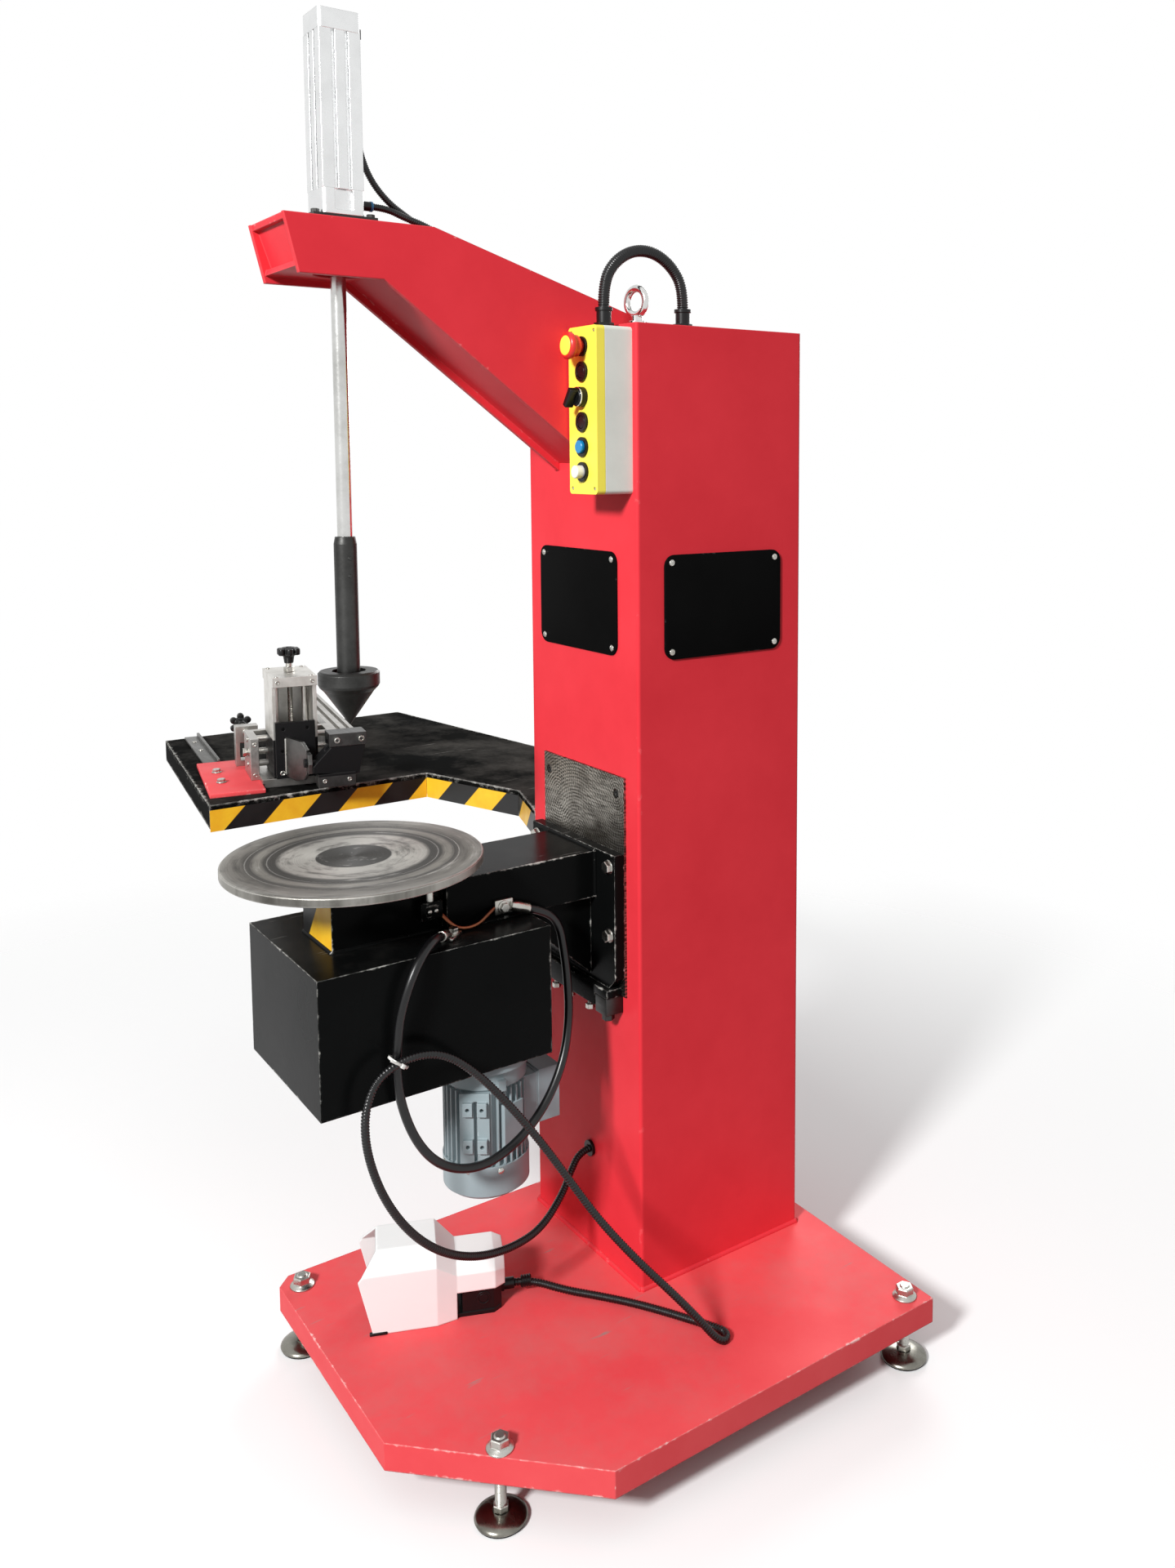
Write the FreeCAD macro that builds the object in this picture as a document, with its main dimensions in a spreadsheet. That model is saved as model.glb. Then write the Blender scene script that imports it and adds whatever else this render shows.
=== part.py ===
import FreeCAD, Part
import math
import os
import Sketcher

# Column-type welding positioner: a turntable on a bracket, a pneumatic tailstock
# on a goose-neck arm above it, and a torch slide on a platform beside it.
# The column's axis is the local origin of every x and y below, z counts from the floor.

V = FreeCAD.Vector
doc = FreeCAD.newDocument("Positioner")
sheet = doc.addObject("Spreadsheet::Sheet", "Dims")

SIZES = (
    ("column_x", 338.5, "column axis from the part's origin, along X"),
    ("column_y", 266.5, "column axis from the part's origin, along Y"),
    ("base_gap", 62.0, "floor to the underside of the base plate"),
    ("base_thick", 39.0, "base plate thickness"),
    ("base_front", 616.0, "base plate edge in front of the column axis"),
    ("base_back", 196.0, "base plate edge behind the column axis"),
    ("base_right", 442.0, "base plate edge right of the column axis"),
    ("base_left", 207.0, "base plate edge left of the column axis"),
    ("base_corner", 222.0, "large chamfer of the base plate"),
    ("pad_radius", 36.0, "levelling pad radius"),
    ("stem_radius", 8.0, "levelling stem radius"),
    ("column_side", 320.0, "column width and depth"),
    ("column_height", 1500.0, "column height above the base plate"),
    ("column_wall", 8.0, "column plate thickness"),
    ("arm_width", 140.0, "arm width over its side plates"),
    ("arm_plate", 8.0, "arm plate thickness"),
    ("arm_top", 1621.0, "arm top above the base plate"),
    ("arm_bottom", 1544.0, "arm underside above the base plate"),
    ("arm_reach", 647.0, "arm tip in front of the column axis"),
    ("arm_root", 1282.0, "where the arm's underside meets the column"),
    ("axis_reach", 548.0, "spindle axis in front of the column axis"),
    ("disc_radius", 185.0, "turntable radius"),
    ("disc_thick", 13.0, "turntable thickness"),
    ("disc_top", 733.0, "turntable top above the base plate"),
    ("spindle_radius", 22.45, "spindle journal radius"),
    ("bearing_bore", 22.5, "bearing bore radius"),
    ("bearing_outer", 39.95, "bearing outer radius"),
    ("housing_bore", 40.0, "bore of the spindle housing"),
    ("casing_half", 137.5, "half width of the drive casing"),
    ("casing_front", 658.0, "casing front wall in front of the column axis"),
    ("casing_back", 303.0, "casing back wall in front of the column axis"),
    ("casing_top", 617.0, "casing top above the base plate"),
    ("casing_bottom", 422.0, "casing underside above the base plate"),
    ("casing_wall", 5.0, "casing sheet thickness"),
    ("pulley_big", 88.0, "spindle pulley radius"),
    ("pulley_small", 44.0, "drive pulley radius"),
    ("motor_x", 65.0, "motor axis right of the column axis"),
    ("motor_reach", 378.0, "motor axis in front of the column axis"),
    ("motor_core", 55.0, "motor frame radius under the fins"),
    ("motor_fin", 63.0, "motor frame radius over the fins"),
    ("flange_half", 125.0, "half width of the bracket flange"),
    ("flange_thick", 18.0, "bracket flange thickness"),
    ("beam_half", 70.0, "half width of the bracket beam"),
    ("rod_radius", 10.5, "tailstock rod radius"),
    ("barrel_side", 58.0, "tailstock cylinder profile side"),
    ("barrel_bore", 25.0, "tailstock cylinder bore radius"),
    ("barrel_length", 208.0, "tailstock cylinder tube length"),
    ("sleeve_radius", 16.0, "tailstock sleeve radius"),
    ("centre_radius", 43.0, "live centre collar radius"),
    ("box_width", 77.0, "control box width"),
    ("box_height", 245.0, "control box height"),
    ("box_depth", 48.0, "control box base depth"),
    ("lid_depth", 14.5, "control box lid depth"),
    ("button_pitch", 36.6, "pitch of the control devices"),
    ("shelf_top", 700.0, "platform top above the base plate"),
    ("shelf_thick", 42.0, "platform edge height"),
    ("badge_width", 228.0, "badge plate width"),
    ("badge_height", 160.0, "badge plate height"),
    ("conduit_radius", 6.0, "pedal conduit radius"),
    ("cable_radius", 6.5, "earth cable radius"),
    ("arch_radius", 9.0, "control box conduit radius"),
    ("hose_radius", 5.0, "air hose radius"),
)


class Dim(float):
    """A size together with the sheet expression that it comes from."""

    def __new__(cls, value, expr):
        new = float.__new__(cls, value)
        new.expr = expr
        return new

    def __add__(self, other):
        return Dim(float(self) + float(other), "(%s + %s)" % (text(self), text(other)))

    def __radd__(self, other):
        return Dim(float(other) + float(self), "(%s + %s)" % (text(other), text(self)))

    def __sub__(self, other):
        return Dim(float(self) - float(other), "(%s - %s)" % (text(self), text(other)))

    def __rsub__(self, other):
        return Dim(float(other) - float(self), "(%s - %s)" % (text(other), text(self)))

    def __mul__(self, other):
        return Dim(float(self) * float(other), "(%s * %s)" % (text(self), text(other)))

    def __rmul__(self, other):
        return Dim(float(other) * float(self), "(%s * %s)" % (text(other), text(self)))

    def __truediv__(self, other):
        return Dim(float(self) / float(other), "(%s / %s)" % (text(self), text(other)))

    def __neg__(self):
        return Dim(-float(self), "(-1 * %s)" % text(self))


def text(value):
    return value.expr if isinstance(value, Dim) else repr(float(value))


D = {}
for row, (alias, value, note) in enumerate(SIZES, 1):
    sheet.set("A%d" % row, note)
    sheet.set("B%d" % row, repr(value))
    sheet.setAlias("B%d" % row, alias)
    D[alias] = Dim(value, "Dims." + alias)
doc.recompute()

NODES = {}
X_AXIS, Y_AXIS, Z_AXIS = V(1, 0, 0), V(0, 1, 0), V(0, 0, 1)
ZB = D["base_gap"] + D["base_thick"]


def bind(obj, prop, value):
    if isinstance(value, Dim):
        obj.setExpression(prop, value.expr)


def put(obj, at, axis=Z_AXIS, angle=0.0, frame=None):
    """Place an object at a point of the column frame, or of a turned local frame."""
    turn = FreeCAD.Rotation(axis, angle)
    if frame is not None:
        spot = V(float(at[0]), float(at[1]), float(at[2]))
        obj.Placement = frame.multiply(FreeCAD.Placement(spot, turn))
        return obj
    spot = (D["column_x"] + at[0], D["column_y"] + at[1], at[2])
    obj.Placement = FreeCAD.Placement(V(*[float(c) for c in spot]), turn)
    for letter, value in zip("xyz", spot):
        bind(obj, "Placement.Base." + letter, value)
    return obj


def local_frame(x, y, z, turn):
    """A turned frame whose origin is a point of the column frame."""
    spot = V(float(D["column_x"] + x), float(D["column_y"] + y), float(z))
    return FreeCAD.Placement(spot, turn)


def add(kind, sizes, label="piece"):
    obj = doc.addObject(kind, label)
    for prop, value in sizes.items():
        setattr(obj, prop, float(value))
        bind(obj, prop, value)
    return obj


def box(low, size, frame=None):
    obj = add("Part::Box", {"Length": size[0], "Width": size[1], "Height": size[2]}, "block")
    return put(obj, low, frame=frame)


def cyl(radius, height, at, along="Z", frame=None):
    obj = add("Part::Cylinder", {"Radius": radius, "Height": height}, "round")
    turns = {"Z": (Z_AXIS, 0.0), "X": (Y_AXIS, 90.0), "Y": (X_AXIS, -90.0)}
    axis, angle = turns[along]
    return put(obj, at, axis, angle, frame)


def hexagon(across, height, at, along="Z", frame=None):
    obj = doc.addObject("Part::Prism", "hex")
    obj.Polygon = 6
    obj.Circumradius = across / math.sqrt(3.0)
    obj.Height = height
    turns = {"Z": (Z_AXIS, 0.0), "X": (Y_AXIS, 90.0), "Y": (X_AXIS, -90.0)}
    axis, angle = turns[along]
    return put(obj, at, axis, angle, frame)


def fuse(*pieces):
    obj = doc.addObject("Part::MultiFuse", "joined")
    obj.Shapes = list(pieces)
    obj.Refine = True
    return obj


def cut(base, *tools):
    obj = doc.addObject("Part::Cut", "trimmed")
    obj.Base = base
    obj.Tool = tools[0] if len(tools) == 1 else fuse(*tools)
    return obj


def gather(*pieces):
    obj = doc.addObject("Part::Compound", "set")
    obj.Links = list(pieces)
    return obj


def node(name, obj):
    obj.Label = name
    NODES[name] = obj
    return obj


def plane(body, role):
    return [item for item in body.Origin.OriginFeatures if item.Role == role][0]


def outline(body, role, points, circles=()):
    """A closed sketch whose corners and circles are dimensioned from its origin."""
    sketch = body.newObject("Sketcher::SketchObject", "Outline")
    sketch.AttachmentSupport = [(plane(body, role), "")]
    sketch.MapMode = "FlatFace"
    spots = [V(float(a), float(b), 0) for a, b in points]
    count = len(spots)
    ids = []
    for i in range(count):
        ids.append(sketch.addGeometry(Part.LineSegment(spots[i], spots[(i + 1) % count]), False))
    for i in range(count):
        sketch.addConstraint(Sketcher.Constraint("Coincident", ids[i], 2, ids[(i + 1) % count], 1))
    for i in range(count):
        for kind, value in zip(("DistanceX", "DistanceY"), points[i]):
            rule = Sketcher.Constraint(kind, -1, 1, ids[i], 1, float(value))
            index = sketch.addConstraint(rule)
            bind(sketch, "Constraints[%d]" % index, value)
    for a, b, radius in circles:
        ring = sketch.addGeometry(Part.Circle(V(float(a), float(b), 0), Z_AXIS, float(radius)), False)
        for kind, value in (("DistanceX", a), ("DistanceY", b)):
            rule = Sketcher.Constraint(kind, -1, 1, ring, 3, float(value))
            index = sketch.addConstraint(rule)
            bind(sketch, "Constraints[%d]" % index, value)
        index = sketch.addConstraint(Sketcher.Constraint("Radius", ring, float(radius)))
        bind(sketch, "Constraints[%d]" % index, radius)
    return sketch


def prism(role, points, length, at=(0, 0, 0), circles=(), middle=False, frame=None, turn=None):
    """A padded outline: YZ outlines grow along +X, XZ ones along -Y, XY ones along +Z."""
    body = doc.addObject("PartDesign::Body", "Padded")
    pad = body.newObject("PartDesign::Pad", "Pad")
    pad.Profile = outline(body, role, points, circles)
    pad.Length = float(length)
    bind(pad, "Length", length)
    if middle:
        pad.SideType = "Symmetric"
    axis, angle = turn or (Z_AXIS, 0.0)
    return put(body, at, axis, angle, frame)


def turned(points, at=(0, 0, 0), frame=None, turn=None):
    """A body of revolution from (radius, height) corners about its own Z axis."""
    body = doc.addObject("PartDesign::Body", "Turned")
    sketch = outline(body, "XZ_Plane", points)
    spin = body.newObject("PartDesign::Revolution", "Revolution")
    spin.Profile = sketch
    spin.ReferenceAxis = (sketch, ["V_Axis"])
    spin.Angle = 360.0
    axis, angle = turn or (Z_AXIS, 0.0)
    return put(body, at, axis, angle, frame)


def rounded(body, radius, test):
    """Fillet the edges of a body's tip that pass a test, as the last feature."""
    doc.recompute()
    tip = body.Tip
    names = ["Edge%d" % i for i, edge in enumerate(tip.Shape.Edges, 1) if test(edge)]
    fillet = body.newObject("PartDesign::Fillet", "Fillet")
    fillet.Base = (tip, names)
    fillet.Radius = radius
    return body


def upright(axis):
    def test(edge):
        if len(edge.Vertexes) != 2:
            return False
        run = edge.Vertexes[1].Point.sub(edge.Vertexes[0].Point)
        return run.Length > 1e-6 and abs(abs(run.normalize().dot(axis)) - 1.0) < 1e-6
    return test


# Base plate: one thick plate with a large cut corner where the operator stands.

corner = D["base_corner"]
front, back = D["base_front"], D["base_back"]
right, left = D["base_right"], D["base_left"]
FEET = ((318.0, -495.0), (-170.0, -585.0), (412.0, 164.0), (-177.0, 164.0))
plate_outline = (
    (-left + 21.0, -front),
    (right - corner, -front),
    (right, -front + corner),
    (right, back),
    (-left, back),
    (-left, -front + 21.0),
)
foot_holes = [(x, y, D["stem_radius"] + 1.0) for x, y in FEET]
node("base_plate", prism("XY_Plane", plate_outline, D["base_thick"], (0, 0, D["base_gap"]), foot_holes))

pads = []
stems = []
for x, y in FEET:
    pad_radius = D["pad_radius"]
    pads.append(turned((
        (0, 0), (pad_radius, 0), (pad_radius, 7), (pad_radius - 3, 9), (16, 17), (13, 29),
        (8.5, 29), (8.5, 15), (0, 15)), (x, y, 0)))
    stem = cyl(D["stem_radius"], 114.0, (x, y, 15.0))
    foot_hex = hexagon(22.0, 12.0, (x, y, 31.0))
    collar = cyl(17.0, 3.0, (x, y, ZB))
    nut = hexagon(24.0, 14.0, (x, y, ZB + 3.0))
    stems.append(fuse(stem, foot_hex, collar, nut))
node("foot_pads", gather(*pads))
node("foot_stems", gather(*stems))

# Column: a welded square tube with a top plate, a front entry and a top entry for conduits.

half = D["column_side"] / 2
wall = D["column_wall"]
tall = D["column_height"]
shell = prism("XY_Plane", ((-half, -half), (half, -half), (half, half), (-half, half)), tall, (0, 0, ZB))
rounded(shell, 5.0, upright(Z_AXIS))
inner = box((-half + wall, -half + wall, ZB), (half * 2 - wall * 2, half * 2 - wall * 2, tall - wall))
front_entry = cyl(9.0, 20.0, (14.0, -half - 5.0, ZB + 172.0), "Y")
top_entry = cyl(9.0, 20.0, (114.0, -42.0, ZB + tall - 12.0))
node("column", cut(shell, inner, front_entry, top_entry))

# Arm: two goose-neck side plates with a top plate flush between them, an underside
# set up inside their edges and an end plate set back behind their lips.

arm_top, arm_low = ZB + D["arm_top"], ZB + D["arm_bottom"]
arm_root = ZB + D["arm_root"]
arm_half = D["arm_width"] / 2
skin = D["arm_plate"]
reach = D["arm_reach"]
column_top = ZB + tall
side_outline = (
    (-reach, arm_top), (-reach + 19.0, arm_low), (-510.0, arm_low), (-half, arm_root),
    (-half, column_top), (-41.0, column_top), (-435.0, arm_top))
side_left = prism("YZ_Plane", side_outline, skin, (-arm_half, 0, 0))
side_right = prism("YZ_Plane", side_outline, skin, (arm_half - skin, 0, 0))
roof_outline = (
    (-reach + 2.0, arm_top), (-reach + 4.0, arm_top - 8.0), (-436.2, arm_top - 8.0),
    (-68.3, column_top), (-41.0, column_top), (-435.0, arm_top))
roof = prism("YZ_Plane", roof_outline, arm_half * 2 - skin * 2, middle=True)
floor_outline = (
    (-628.0, arm_low + 10.0), (-506.7, arm_low + 10.0), (-half, arm_root + 12.5),
    (-half, arm_root + 22.5), (-504.0, arm_low + 18.0), (-626.0, arm_low + 18.0))
sole = prism("YZ_Plane", floor_outline, arm_half * 2 - skin * 2, middle=True)
end_outline = (
    (-636.0, arm_top - 8.0), (-618.0, arm_low + 18.0), (-610.0, arm_low + 18.0), (-628.0, arm_top - 8.0))
end_plate = prism("YZ_Plane", end_outline, arm_half * 2 - skin * 2, middle=True)
axis_y = -D["axis_reach"]
rod_hole = cyl(34.0, 40.0, (0, axis_y, arm_low))
nose_hole = cyl(20.0, 30.0, (0, axis_y, arm_top - 20.0))
HOSE_X = (-22.0, 14.0)
HOSE_Y = -330.0
hose_holes = [cyl(4.0, 60.0, (x, HOSE_Y, arm_top - 60.0)) for x in HOSE_X]
welded_arm = fuse(side_left, side_right, roof, sole, end_plate)
node("arm", cut(welded_arm, rod_hole, nose_hole, *hose_holes))

# Lifting eye on the column's front corner.

eye_collar = cyl(13.0, 6.0, (117.0, -130.0, column_top))
eye_neck = cyl(9.0, 14.0, (117.0, -130.0, column_top))
eye_ring = add("Part::Torus", {"Radius1": 19.5, "Radius2": 5.6}, "ring")
put(eye_ring, (117.0, -130.0, column_top + 35.0), V(0.985, 0.174, 0), 90.0)
node("eye_bolt", fuse(eye_collar, eye_neck, eye_ring))

# Milled seat on the column front, the bracket on it and its bolts.

seat_y = -half - 4.0
seat_low = ZB + 466.0
seat = box((-115.0, seat_y, seat_low), (240.0, 4.0, 348.0))
seat_screws = [cyl(7.0, 5.0, (x, seat_y - 1.0, ZB + 786.0), "Y") for x in (-100.0, 103.0)]
node("milled_plate", cut(seat, *seat_screws))

flange_half, flange_thick = D["flange_half"], D["flange_thick"]
flange_y = seat_y - flange_thick
flange_low, flange_top = ZB + 480.0, ZB + 695.0
casing_top = ZB + D["casing_top"]
flange_outline = (
    (-flange_half, flange_low + 18.0), (-flange_half + 18.0, flange_low),
    (flange_half - 18.0, flange_low), (flange_half, flange_low + 18.0),
    (flange_half, flange_top), (-flange_half, flange_top))
BOLTS = [(x, z) for x in (-110.0, 110.0) for z in (566.0, 675.0)]
flange = prism("XZ_Plane", flange_outline, flange_thick, (0, seat_y, 0),
               [(x, ZB + z, 5.5) for x, z in BOLTS])
beam_half = D["beam_half"]
beam_end = -437.0
beam_top = ZB + 691.0
beam_size = (beam_half * 2, flange_y - beam_end, beam_top - casing_top)
beam_solid = box((-beam_half, beam_end, casing_top), beam_size)
beam_hollow = box((-beam_half + 8.0, beam_end + 8.0, casing_top + 8.0),
                  (beam_half * 2 - 16.0, flange_y - beam_end - 8.0, beam_top - casing_top - 16.0))
web_end = -300.0
web_outline = (
    (web_end, casing_top), (web_end, casing_top - 22.0),
    (flange_y, flange_low + 8.0), (flange_y, casing_top))
web_left = prism("YZ_Plane", web_outline, 10.0, (-55.0, 0, 0))
web_right = prism("YZ_Plane", web_outline, 10.0, (45.0, 0, 0))
under_outline = (
    (web_end, casing_top - 12.0), (web_end, casing_top - 22.0),
    (flange_y, flange_low + 8.0), (flange_y, flange_low + 18.0))
under = prism("YZ_Plane", under_outline, 90.0, middle=True)
node("bracket", fuse(cut(beam_solid, beam_hollow), flange, web_left, web_right, under))

fasteners = []
for x, z in BOLTS:
    washer = cyl(11.0, 2.5, (x, flange_y - 2.5, ZB + z), "Y")
    head = hexagon(17.0, 7.0, (x, flange_y - 9.5, ZB + z), "Y")
    shank = cyl(5.0, flange_thick, (x, flange_y, ZB + z), "Y")
    fasteners.append(fuse(washer, head, shank))
jack = box((82.0, -half - 32.0, seat_low - 28.0), (32.0, 32.0, 28.0))
jack_screw = cyl(5.0, 30.0, (98.0, -half - 18.0, seat_low - 16.0))
jack_head = hexagon(17.0, 9.0, (98.0, -half - 18.0, seat_low - 40.0))
jack_neck = cyl(5.0, 12.0, (98.0, -half - 18.0, seat_low - 34.0))
fasteners.append(fuse(jack, jack_screw, jack_head, jack_neck))
node("bracket_bolts", gather(*fasteners))

# Badge plates: bare black plates with rounded corners on the front and the right face.

badge_w, badge_h = D["badge_width"] / 2, D["badge_height"] / 2
badge_outline = ((-badge_w, -badge_h), (badge_w, -badge_h), (badge_w, badge_h), (-badge_w, badge_h))
BADGE_HOLES = [(x, z, 2.6) for x in (-101.2, 101.2) for z in (-68.3, 68.3)]
badge_front = prism("XZ_Plane", badge_outline, 3.0, (-8.0, -half, ZB + 1080.0), BADGE_HOLES)
rounded(badge_front, 18.0, upright(Y_AXIS))
badge_side = prism("YZ_Plane", badge_outline, 3.0, (half, 2.3, ZB + 1076.0), BADGE_HOLES)
rounded(badge_side, 18.0, upright(X_AXIS))
screws = []
for x, z, r in BADGE_HOLES:
    screws.append(cyl(5.0, 2.2, (x - 8.0, -half - 5.2, ZB + 1080.0 + z), "Y"))
    screws.append(cyl(5.0, 2.2, (half + 3.0, x + 2.3, ZB + 1076.0 + z), "X"))
node("badge_plates", gather(badge_front, badge_side, *screws))

# Spindle housing on the casing, with two bearings in one through bore.

neck_top = ZB + 708.0
neck_box = box((-55.0, -605.0, casing_top), (110.0, 168.0, neck_top - casing_top))
neck_bore = cyl(D["housing_bore"], 120.0, (0, axis_y, casing_top - 10.0))
node("spindle_housing", cut(neck_box, neck_bore))

rings = []
for z in (620.0, 685.0):
    ring = cyl(D["bearing_outer"], 20.0, (0, axis_y, ZB + z))
    hole = cyl(D["bearing_bore"], 24.0, (0, axis_y, ZB + z - 2.0))
    rings.append(cut(ring, hole))
node("spindle_bearings", gather(*rings))

# Drive casing: a sheet box open below, closed by a thick floor that carries the motor.

casing_half, casing_wall = D["casing_half"], D["casing_wall"]
casing_front, casing_back = -D["casing_front"], -D["casing_back"]
casing_low = ZB + D["casing_bottom"]
casing_out = box((-casing_half, casing_front, casing_low),
                 (casing_half * 2, casing_back - casing_front, casing_top - casing_low))
casing_in = box((-casing_half + casing_wall, casing_front + casing_wall, casing_low),
                (casing_half * 2 - casing_wall * 2, casing_back - casing_front - casing_wall * 2,
                 casing_top - casing_low - casing_wall))
spindle_hole = cyl(D["housing_bore"], 20.0, (0, axis_y, casing_top - 10.0))
node("casing", cut(casing_out, casing_in, spindle_hole))

motor_x, motor_y = D["motor_x"], -D["motor_reach"]
floor_rim = casing_wall + 0.2
floor_thick = 8.0
floor_size = (casing_half * 2 - floor_rim * 2, casing_back - casing_front - floor_rim * 2, floor_thick)
floor_plate = box((-casing_half + floor_rim, casing_front + floor_rim, casing_low), floor_size)
shaft_hole = cyl(12.0, 20.0, (motor_x, motor_y, casing_low - 5.0))
node("casing_floor", cut(floor_plate, shaft_hole))

# Spindle with its pulley, the reduction unit on the floor, its pulley and the belt.

disc_low = ZB + D["disc_top"] - D["disc_thick"]
journal = D["spindle_radius"]
big, small = D["pulley_big"], D["pulley_small"]
belt_z = ZB + 503.0
spindle = turned((
    (0, ZB + 474.0), (journal, ZB + 474.0), (journal, belt_z - 3.0), (big + 5.0, belt_z - 3.0),
    (big + 5.0, belt_z - 0.6), (big, belt_z - 0.6), (big, belt_z + 24.6), (big + 5.0, belt_z + 24.6),
    (big + 5.0, belt_z + 27.0), (journal + 12.0, belt_z + 27.0), (journal + 12.0, belt_z + 40.0),
    (journal, belt_z + 40.0), (journal, disc_low - 11.0), (60.0, disc_low - 11.0), (60.0, disc_low),
    (0, disc_low)), (0, axis_y, 0))
node("spindle", spindle)

unit_low = casing_low + floor_thick
unit = turned((
    (0, unit_low), (60.0, unit_low), (60.0, unit_low + 10.0), (50.0, unit_low + 14.0),
    (50.0, unit_low + 52.0), (30.0, unit_low + 60.0), (0, unit_low + 60.0)), (motor_x, motor_y, 0))
input_bore = cyl(9.6, 26.0, (motor_x, motor_y, unit_low - 2.0))
output_bore = cyl(12.06, 40.0, (motor_x, motor_y, unit_low + 30.0))
node("gear_unit", cut(unit, input_bore, output_bore))

drive = turned((
    (0, unit_low + 31.0), (12.0, unit_low + 31.0), (12.0, belt_z - 3.0), (small + 5.0, belt_z - 3.0),
    (small + 5.0, belt_z - 0.6), (small, belt_z - 0.6), (small, belt_z + 24.6),
    (small + 5.0, belt_z + 24.6), (small + 5.0, belt_z + 27.0), (20.0, belt_z + 27.0),
    (20.0, belt_z + 36.0), (12.0, belt_z + 36.0),
    (12.0, belt_z + 40.0), (0, belt_z + 40.0)), (motor_x, motor_y, 0))
node("drive_pulley", drive)


def belt_wire(gap):
    """The belt's line round both pulleys: two arcs joined by the outer tangents."""
    a, b = V(0, float(axis_y), 0), V(float(motor_x), float(motor_y), 0)
    ra, rb = float(big) + gap, float(small) + gap
    along = b.sub(a)
    span = along.Length
    base = math.atan2(along.y, along.x)
    lean = math.acos((ra - rb) / span)

    def spot(centre, radius, angle):
        return centre.add(V(radius * math.cos(angle), radius * math.sin(angle), 0))

    a1, a2 = spot(a, ra, base + lean), spot(a, ra, base - lean)
    b1, b2 = spot(b, rb, base + lean), spot(b, rb, base - lean)
    edges = [
        Part.LineSegment(a1, b1).toShape(),
        Part.Arc(b1, spot(b, rb, base), b2).toShape(),
        Part.LineSegment(b2, a2).toShape(),
        Part.Arc(a2, spot(a, ra, base + math.pi), a1).toShape(),
    ]
    return Part.Wire(edges)


belt = doc.addObject("Part::Feature", "belt")
belt_out, belt_in = [Part.Face(belt_wire(gap)).extrude(V(0, 0, 24.0)) for gap in (4.3, 0.3)]
belt.Shape = belt_out.cut(belt_in)
node("drive_belt", put(belt, (0, 0, belt_z)))

# Motor: finned frame hung under the casing floor, terminal box, fan cover and rotor.

core, fin = D["motor_core"], D["motor_fin"]
motor_top = casing_low
motor_low = ZB + 217.0
frame_body = doc.addObject("PartDesign::Body", "MotorFrame")
frame_sketch = outline(frame_body, "XZ_Plane", (
    (0, 0), (fin - 2.0, 0), (fin - 2.0, 8.0), (core, 12.0), (core, 122.0), (fin - 1.0, 128.0),
    (fin - 1.0, 150.0), (fin + 5.0, 152.0), (fin + 5.0, 164.0), (0, 164.0)))
frame_turn = frame_body.newObject("PartDesign::Revolution", "Core")
frame_turn.Profile = frame_sketch
frame_turn.ReferenceAxis = (frame_sketch, ["V_Axis"])
frame_turn.Angle = 360.0
fin_sketch = outline(frame_body, "XY_Plane", (
    (core - 2.0, -1.3), (fin, -1.3), (fin, 1.3), (core - 2.0, 1.3)))
fin_sketch.AttachmentOffset = FreeCAD.Placement(V(0, 0, 10.0), FreeCAD.Rotation())
fin_pad = frame_body.newObject("PartDesign::Pad", "Fin")
fin_pad.Profile = fin_sketch
fin_pad.Length = 114.0
fin_ring = frame_body.newObject("PartDesign::PolarPattern", "Fins")
fin_ring.Originals = [fin_pad]
fin_ring.Axis = (frame_sketch, ["V_Axis"])
fin_ring.Angle = 360.0
fin_ring.Occurrences = 36
frame_body.Tip = fin_ring
frame_z = motor_top - 164.0
put(frame_body, (motor_x, motor_y, frame_z))
pedestal = box((motor_x - 42.0, motor_y + 40.0, frame_z + 48.0), (84.0, 24.0, 76.0))
LUG_BEARING, PLATE_BEARING, BOSS_BEARING = -38.0, 13.0, -6.0
lug_turn, plate_turn, boss_turn = [
    local_frame(motor_x, motor_y, frame_z, FreeCAD.Rotation(Z_AXIS, bearing))
    for bearing in (LUG_BEARING, PLATE_BEARING, BOSS_BEARING)]
foot_pad = box((48.0, -26.0, 14.0), (16.0, 44.0, 110.0), lug_turn)
foot_groove = box((57.0, -5.0, 20.0), (16.0, 5.0, 92.0), lug_turn)
LUGS = [(y, z) for y in (-20.0, 1.0) for z in (36.0, 92.0)]
lugs = [box((60.0, y, z), (11.0, 14.0, 20.0), lug_turn) for y, z in LUGS]
lug_bores = [cyl(3.0, 14.0, (62.0, y + 7.0, z + 10.0), "X", lug_turn) for y, z in LUGS]
plate_seat = box((48.0, -18.0, 34.0), (16.5, 36.0, 66.0), plate_turn)
boss = box((50.0, -6.0, 126.0), (20.0, 12.0, 16.0), boss_turn)
shaft_bore = cyl(9.6, 180.0, (motor_x, motor_y, frame_z - 5.0))
stator_bore = cyl(38.5, 138.0, (motor_x, motor_y, frame_z + 12.0))
motor_solid = fuse(frame_body, pedestal, foot_pad, plate_seat, boss, *lugs)
node("motor_frame", cut(motor_solid, foot_groove, shaft_bore, stator_bore, *lug_bores))

terminal = box((motor_x - 42.0, motor_y + 64.0, frame_z + 47.0), (84.0, 4.0, 78.0))
terminal_lid = box((motor_x - 43.0, motor_y + 68.0, frame_z + 45.0), (86.0, 36.0, 82.0))
node("terminal_box", fuse(terminal, terminal_lid))

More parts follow.
